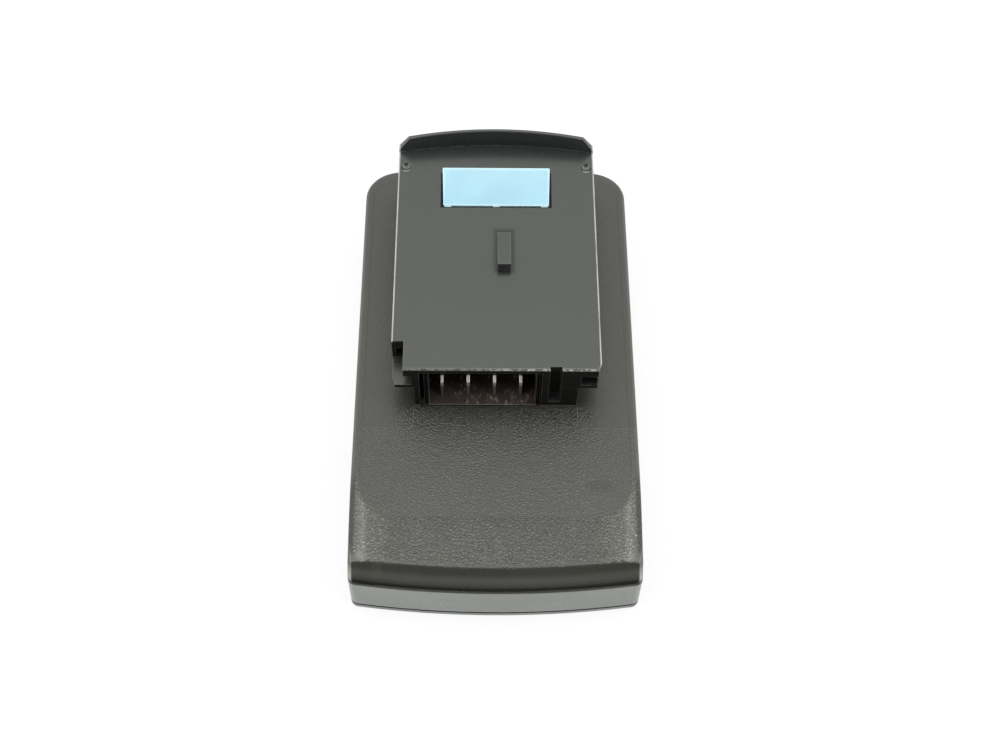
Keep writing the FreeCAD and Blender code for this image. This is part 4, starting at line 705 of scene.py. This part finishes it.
terminal_plastic, t, place, shader = new_material("terminal plastic")
z = split(t, place)["Z"]
looks = facing(t)
rubbed_way = put(t, "Mapping", {"Vector": place, "Scale": ALONG_THE_BLADES}).outputs[0]
rubbing = put(t, "TexNoise", {"Vector": rubbed_way, "Scale": 1 / (0.8 * MM), "Detail": 6.0, "Roughness": 0.7,
                              "Distortion": 0.6}).outputs["Fac"]
scuffs = times(t, step(t, rubbing, 0.50, 0.70), step(t, noise(t, place, 6 * MM, 2.0), 0.40, 0.65),
               step(t, looks["Z"], 0.6, 0.9))
# painted shade on the forward faces of the walls
shaded_wall_ends = times(t, fade(t, looks["Y"], -0.95, -0.7),
                  step(t, z, BLOCK_FLOOR - 0.2 * MM, BLOCK_FLOOR + 0.2 * MM))
wear = use(t, wear_group, Vector=place, Reach=0.25 * MM, Patch=1.2 * MM, Amount=0.9)["Mask"]
wear = times(t, wear, step(t, z, BLOCK_FLOOR, BLOCK_FLOOR + 0.5 * MM, 1.0, 0.15))
specks = use(t, dust_group, Vector=place, Cell=2.2 * MM, Speck=0.05, Share=0.3)["Mask"]
colour = painted(
    # painted light: lighter than the black plastic, for the light inside the cavity
    t, rgb(56, 49, 45),
    (scuffs, 0.75, rgb(168, 160, 148)),
    # painted shade on the walls' forward faces
    (shaded_wall_ends, 1.0, rgb(6, 5, 5)),
    (wear, 1.0, rgb(176, 168, 154)),
    (specks, 0.8, rgb(215, 208, 196)))
join(t, colour, shader, "Base Color")
join(t, step(t, rubbing, 0.3, 0.7, 0.30, 0.55), shader, "Roughness")
join(t, times(t, shaded_wall_ends, 0.9), shader, "Metallic")
join_relief(t, rubbing, shader, 0.03 * MM, 0.8)
print("material:", terminal_plastic.name)

# %% [markdown]
# The metals differ in how they were made. Nickel strip and plated blades show fine lines along the rolling
# direction, screws are plated a little duller, and spring wire is drawn. Stretched noise gives the lines,
# which vary both the roughness and the height. A few darker stains keep the plating from looking new. The
# blades stand in a deep cavity, so their feet are painted dark, as shade.

# %% Helper: worked metal
def worked_metal(name, colour, roughness, stretch, line_width, stain=0.25, bright_above=None):
    """Metal with fine lines along one axis, stains and brighter edges, and painted shade below a height if
    given.
    """
    material, tree, place, shader = new_material(name)
    turned = put(tree, "Mapping", {"Vector": place, "Scale": stretch}).outputs[0]
    lines = noise(tree, turned, line_width, 4.0)
    clouds = noise(tree, place, 2.5 * MM, 4.0)
    worn = use(tree, wear_group, Vector=place, Reach=0.15 * MM, Amount=0.5)["Mask"]
    tint = blend_colour(tree, step(tree, clouds, 0.42, 0.70, 0.0, stain), colour, shade(colour, 0.55))
    tint = blend_colour(tree, worn, tint, shade(colour, 1.25))
    if bright_above is not None:
        height = split(tree, place)["Z"]
        # painted shade: the metal darkens below this height, as the cavity shades it
        shaded_foot = step(tree, height, bright_above - 1.0 * MM, bright_above + 0.4 * MM, 0.75, 0.0)
        tint = blend_colour(tree, shaded_foot, tint, shade(colour, 0.16))
    join(tree, tint, shader, "Base Color")
    shader.inputs["Metallic"].default_value = 1.0
    spread = times(tree, step(tree, lines, 0.3, 0.7), 0.14)
    join(tree, plus(tree, roughness, spread), shader, "Roughness")
    join_relief(tree, lines, shader, 0.004 * MM, 0.6)
    print("material:", name)
    return material


# %% [markdown]
# Six metals are made this way, again from one table. The way of the lines follows from how each piece is
# made: strips and blades are rolled along the pack, the capacitor's can lies across it, and the springs are
# wound, so theirs run round the coil. The screws are small and worn evenly, so their noise isn't stretched.

# %% Materials: the metals
ALONG_Y = (1.0, 0.06, 1.0)
ALONG_X = (0.06, 1.0, 1.0)
ROUND_THE_COIL = (1.0, 1.0, 8.0)
EVEN = (1.0, 1.0, 1.0)
BLADES_BRIGHT_ABOVE = 29 * MM
METALS = {
    "blade_nickel": worked_metal("blade nickel", rgb(255, 250, 240), 0.32, ALONG_Y, 0.12 * MM,
                                 bright_above=BLADES_BRIGHT_ABOVE),
    "link_nickel": worked_metal("link nickel", rgb(204, 202, 194), 0.30, ALONG_Y, 0.15 * MM),
    "screw_steel": worked_metal("screw steel", rgb(150, 150, 152), 0.34, EVEN, 0.2 * MM, 0.35),
    "spring_steel": worked_metal("spring steel", rgb(190, 190, 192), 0.30, ROUND_THE_COIL, 0.6 * MM),
    "shunt_alloy": worked_metal("shunt alloy", rgb(170, 160, 150), 0.35, ALONG_Y, 0.1 * MM),
    "capacitor_can": worked_metal("capacitor can", rgb(200, 202, 206), 0.32, ALONG_X, 0.2 * MM),
}

# %% [markdown]
# The circuit board is a green lacquered laminate. Under the lacquer lie copper tracks, which show as lighter
# green lanes. Bricks stretched along the board make the lanes, and the lacquer is a clear coat over it all.

# %% Material: board laminate
board_laminate, t, place, shader = new_material("board laminate")
lanes = put(t, "TexBrick", {"Vector": place, "Scale": 1 / (8 * MM), "Mortar Size": 0.06, "Brick Width": 0.9,
                            "Row Height": 0.22, "Color1": rgb(22, 92, 52), "Color2": rgb(26, 104, 60),
                            "Mortar": rgb(12, 62, 36)})
weave = use(t, grain_group, Vector=place, Pebble=0.4 * MM)
join(t, painted(t, lanes.outputs["Color"], (weave["Crease"], 0.15, rgb(10, 50, 30))), shader, "Base Color")
join(t, plus(t, 0.30, times(t, weave["Height"], 0.1)), shader, "Roughness")
shader.inputs["Coat Weight"].default_value = 0.6
shader.inputs["Coat Roughness"].default_value = 0.12
relief = put(t, "Bump", {"Height": lanes.outputs["Fac"], "Distance": 0.02 * MM, "Strength": 0.5,
                         "Filter Width": 0.1}, invert=True)
join(t, relief.outputs[0], shader, "Normal")
print("material:", board_laminate.name)

# %% [markdown]
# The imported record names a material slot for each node. One table gives each slot its finish, so no piece
# has to be looked up by hand.

# %% Which piece gets which finish
FINISHES = {"housing_plastic": housing_plastic, "cover_plastic": cover_plastic,
            "latch_plastic": latch_plastic, "terminal_plastic": terminal_plastic,
            "board_laminate": board_laminate, **PLASTICS, **METALS}
SLOT_OF = {row["node"]: row["material_slot"] for row in frame["record"]["subparts"]}
print(f"{len(FINISHES)} finishes for {len(SLOT_OF)} nodes")

# %% [markdown]
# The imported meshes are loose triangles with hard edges. A moulding has none: its sharpest edge still has a
# small radius, which catches the light as a thin bright line. So each piece that shows is copied, its
# points are merged, flat areas become single faces, and a Bevel modifier rounds what is left. Weighted
# normals then keep the broad faces flat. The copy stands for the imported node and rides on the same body.

# %% Helper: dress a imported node
SHARP = math.radians(30)
FLAT = math.radians(0.2)
SAME_POINT = 0.002 * MM
ROUNDING_STEPS = 2


def dressed(node, name, body, edge_radius):
    """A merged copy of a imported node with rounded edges, which replaces the node."""
    shape = bmesh.new()
    shape.from_mesh(frame["nodes"][node].data)
    bmesh.ops.remove_doubles(shape, verts=shape.verts, dist=SAME_POINT)
    bmesh.ops.dissolve_limit(shape, angle_limit=FLAT, verts=shape.verts, edges=shape.edges,
                             use_dissolve_boundaries=False, delimit=set())
    mesh = bpy.data.meshes.new(name)
    shape.to_mesh(mesh)
    shape.free()
    mesh.shade_smooth()
    mesh.set_sharp_from_angle(angle=SHARP)
    mesh.materials.append(FINISHES[SLOT_OF[node]])
    piece = bpy.data.objects.new(name, mesh)
    bpy.context.scene.collection.objects.link(piece)
    rounding = piece.modifiers.new("rounding", "BEVEL")
    rounding.width = edge_radius
    rounding.segments = ROUNDING_STEPS
    rounding.limit_method = "ANGLE"
    rounding.angle_limit = SHARP
    rounding.use_clamp_overlap = True
    evening = piece.modifiers.new("evening", "WEIGHTED_NORMAL")
    evening.weight = 100
    evening.keep_sharp = True
    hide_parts(node)
    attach(piece, body)
    print(f"piece {name}: {len(mesh.polygons)} faces before rounding")


# %% [markdown]
# Nine pieces show from outside. The table gives each its new name, the body that it rides on, and the radius
# of its edges, which is larger on the big mouldings and smaller on the thin blades. The latch alone moves,
# so it alone rides on the body named latch.

# %% The pieces that show
SHOWING = {
    "top_housing": ("housing_shell", "pack", 0.18 * MM),
    "bottom_cover": ("cover_tray", "pack", 0.15 * MM),
    "latch": ("latch_moulding", "latch", 0.2 * MM),
    "terminal_block": ("socket_block", "pack", 0.12 * MM),
    "cover_screws": ("cover_screw_set", "pack", 0.12 * MM),
    **{f"terminal_blade_{number}": (f"blade_{number}", "pack", 0.1 * MM) for number in range(1, 5)},
}
for node, (name, body, edge_radius) in SHOWING.items():
    dressed(node, name, body, edge_radius)

# %% [markdown]
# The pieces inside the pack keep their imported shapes. They still get their real finishes, because the model
# can be opened up piece by piece.

# %% Finishes for the pieces inside
inside = [node for node in frame["nodes"] if node not in SHOWING]
for node in inside:
    packed_mesh = frame["nodes"][node].data
    packed_mesh.materials.clear()
    packed_mesh.materials.append(FINISHES[SLOT_OF[node]])
print(f"{len(inside)} inner pieces finished")

# %% [markdown]
# The studio is plain. The floor is white paper, which shows as pure white to the camera and in glossy
# reflections but still takes the pack's soft shadow. A mix of the lit paper and a plain white glow does it.

# %% Floor
FLOOR_SIZE = 8.0
FLOOR_LEVEL = -0.05 * MM
GLOW = 0.80                     # how much of the paper's shading gives way to pure white
FIBRES_PER_METRE = 900.0

shape = bmesh.new()
bmesh.ops.create_grid(shape, x_segments=1, y_segments=1, size=FLOOR_SIZE / 2)
bmesh.ops.translate(shape, verts=shape.verts, vec=(0, 0, FLOOR_LEVEL))
floor_mesh = bpy.data.meshes.new("floor")
shape.to_mesh(floor_mesh)
shape.free()
floor = bpy.data.objects.new("floor", floor_mesh)
bpy.context.scene.collection.objects.link(floor)

paper, t, place, shader = new_material("floor paper")
fibre = put(t, "TexNoise", {"Vector": place, "Scale": FIBRES_PER_METRE, "Detail": 3.0}).outputs["Fac"]
join(t, blend_colour(t, step(t, fibre, 0.3, 0.7, 0.0, 0.04), (0.92, 0.92, 0.92, 1), (0.88, 0.88, 0.87, 1)),
     shader, "Base Color")
shader.inputs["Roughness"].default_value = 0.9
shader.inputs["Specular IOR Level"].default_value = 0.1
rays = put(t, "LightPath").outputs
seen = greatest(t, rays["Is Camera Ray"], rays["Is Glossy Ray"], rays["Is Transmission Ray"])
white = put(t, "Emission", {"Color": (1, 1, 1, 1), "Strength": 1.0}).outputs[0]
paper_mix = put(t, "MixShader", {0: times(t, seen, GLOW), 1: shader.outputs[0], 2: white})
t.links.new(paper_mix.outputs[0], t.nodes["Material Output"].inputs["Surface"])
floor.data.materials.append(paper)
print("floor:", FLOOR_SIZE, "m square")

# %% [markdown]
# A satin surface is a blurred mirror, so the room is designed by what each face of the pack looks at. The
# flat tops mirror the sky behind the pack, which is evenly lit. The sloping nose mirrors a brighter softbox
# straight above. The bevel mirrors the dark side of the room, over the camera, with one paler band in it.
# The upright walls mirror the white floor. Two softboxes, high on the left and right, light the corners and
# the paper, and two low strips below them light the pack's sides. The world's shader paints this room from
# the direction of each ray. A direction has length 1, so its X, Y and Z lie between -1 and 1, and Z is 1
# straight overhead.

# %% Room
SKY = 1.05
OVERHEAD = 1.35
SIDE_BOX = 2.6
STRIP = 1.6
DARK = 0.03
PALE_BAND = 0.5

world = bpy.data.worlds.new("studio")
bpy.context.scene.world = world
world.use_nodes = True
t = world.node_tree
t.nodes.clear()
way = split(t, put(t, "TexCoord").outputs["Generated"])
aside = calc(t, "ABSOLUTE", way["X"])
forward = times(t, way["Y"], -1.0)
toward_camera = times(t, step(t, forward, 0.30, 0.50), fade(t, aside, 0.45, 0.62))
overhead = times(t, step(t, way["Z"], 0.86, 0.96), OVERHEAD)
side_boxes = times(t, step(t, aside, 0.50, 0.62), band(t, way["Z"], 0.52, 0.84, 0.06),
                   band(t, way["Y"], -0.55, 0.22, 0.1), SIDE_BOX)
strips = times(t, step(t, aside, 0.60, 0.80), fade(t, way["Z"], 0.10, 0.40), STRIP)
bright = plus(t, SKY, overhead, side_boxes, strips)
dark = plus(t, DARK, times(t, band(t, way["Z"], 0.60, 0.74, 0.06), PALE_BAND))
level = blend_value(t, toward_camera, bright, dark)
room = put(t, "Background", {"Color": (1, 1, 1, 1), "Strength": level})
backdrop = put(t, "Background", {"Color": (1, 1, 1, 1), "Strength": 1.0})
only_camera = put(t, "LightPath").outputs["Is Camera Ray"]
sky = put(t, "MixShader", {0: only_camera, 1: room.outputs[0], 2: backdrop.outputs[0]})
sky_output = t.nodes.new("ShaderNodeOutputWorld")
t.links.new(sky.outputs[0], sky_output.inputs["Surface"])
print("room:", world.name)

# %% [markdown]
# One real lamp helps the room: a long, low softbox in front lights the upright nose, which the dark side of
# the room would leave dull. Its power follows from the brightness wanted and its area.

# %% Lamp
LAMP_PLACE = Vector((0.0, -0.9, 0.05))
LAMP_AIM = Vector((0.0, -0.05, 0.01))
LAMP_WIDTH = 1.4
LAMP_HEIGHT = 0.10
LAMP_RADIANCE = 3.0

lamp = bpy.data.lights.new("front_fill", "AREA")
lamp.shape = "RECTANGLE"
lamp.size = LAMP_WIDTH
lamp.size_y = LAMP_HEIGHT
lamp.energy = LAMP_RADIANCE * math.pi * LAMP_WIDTH * LAMP_HEIGHT
front_fill = bpy.data.objects.new("front_fill", lamp)
front_fill.location = LAMP_PLACE
front_fill.rotation_mode = "QUATERNION"
front_fill.rotation_quaternion = (LAMP_AIM - LAMP_PLACE).to_track_quat("-Z", "Y")
bpy.context.scene.collection.objects.link(front_fill)
print(f"lamp {front_fill.name}: {lamp.energy:.1f} W")
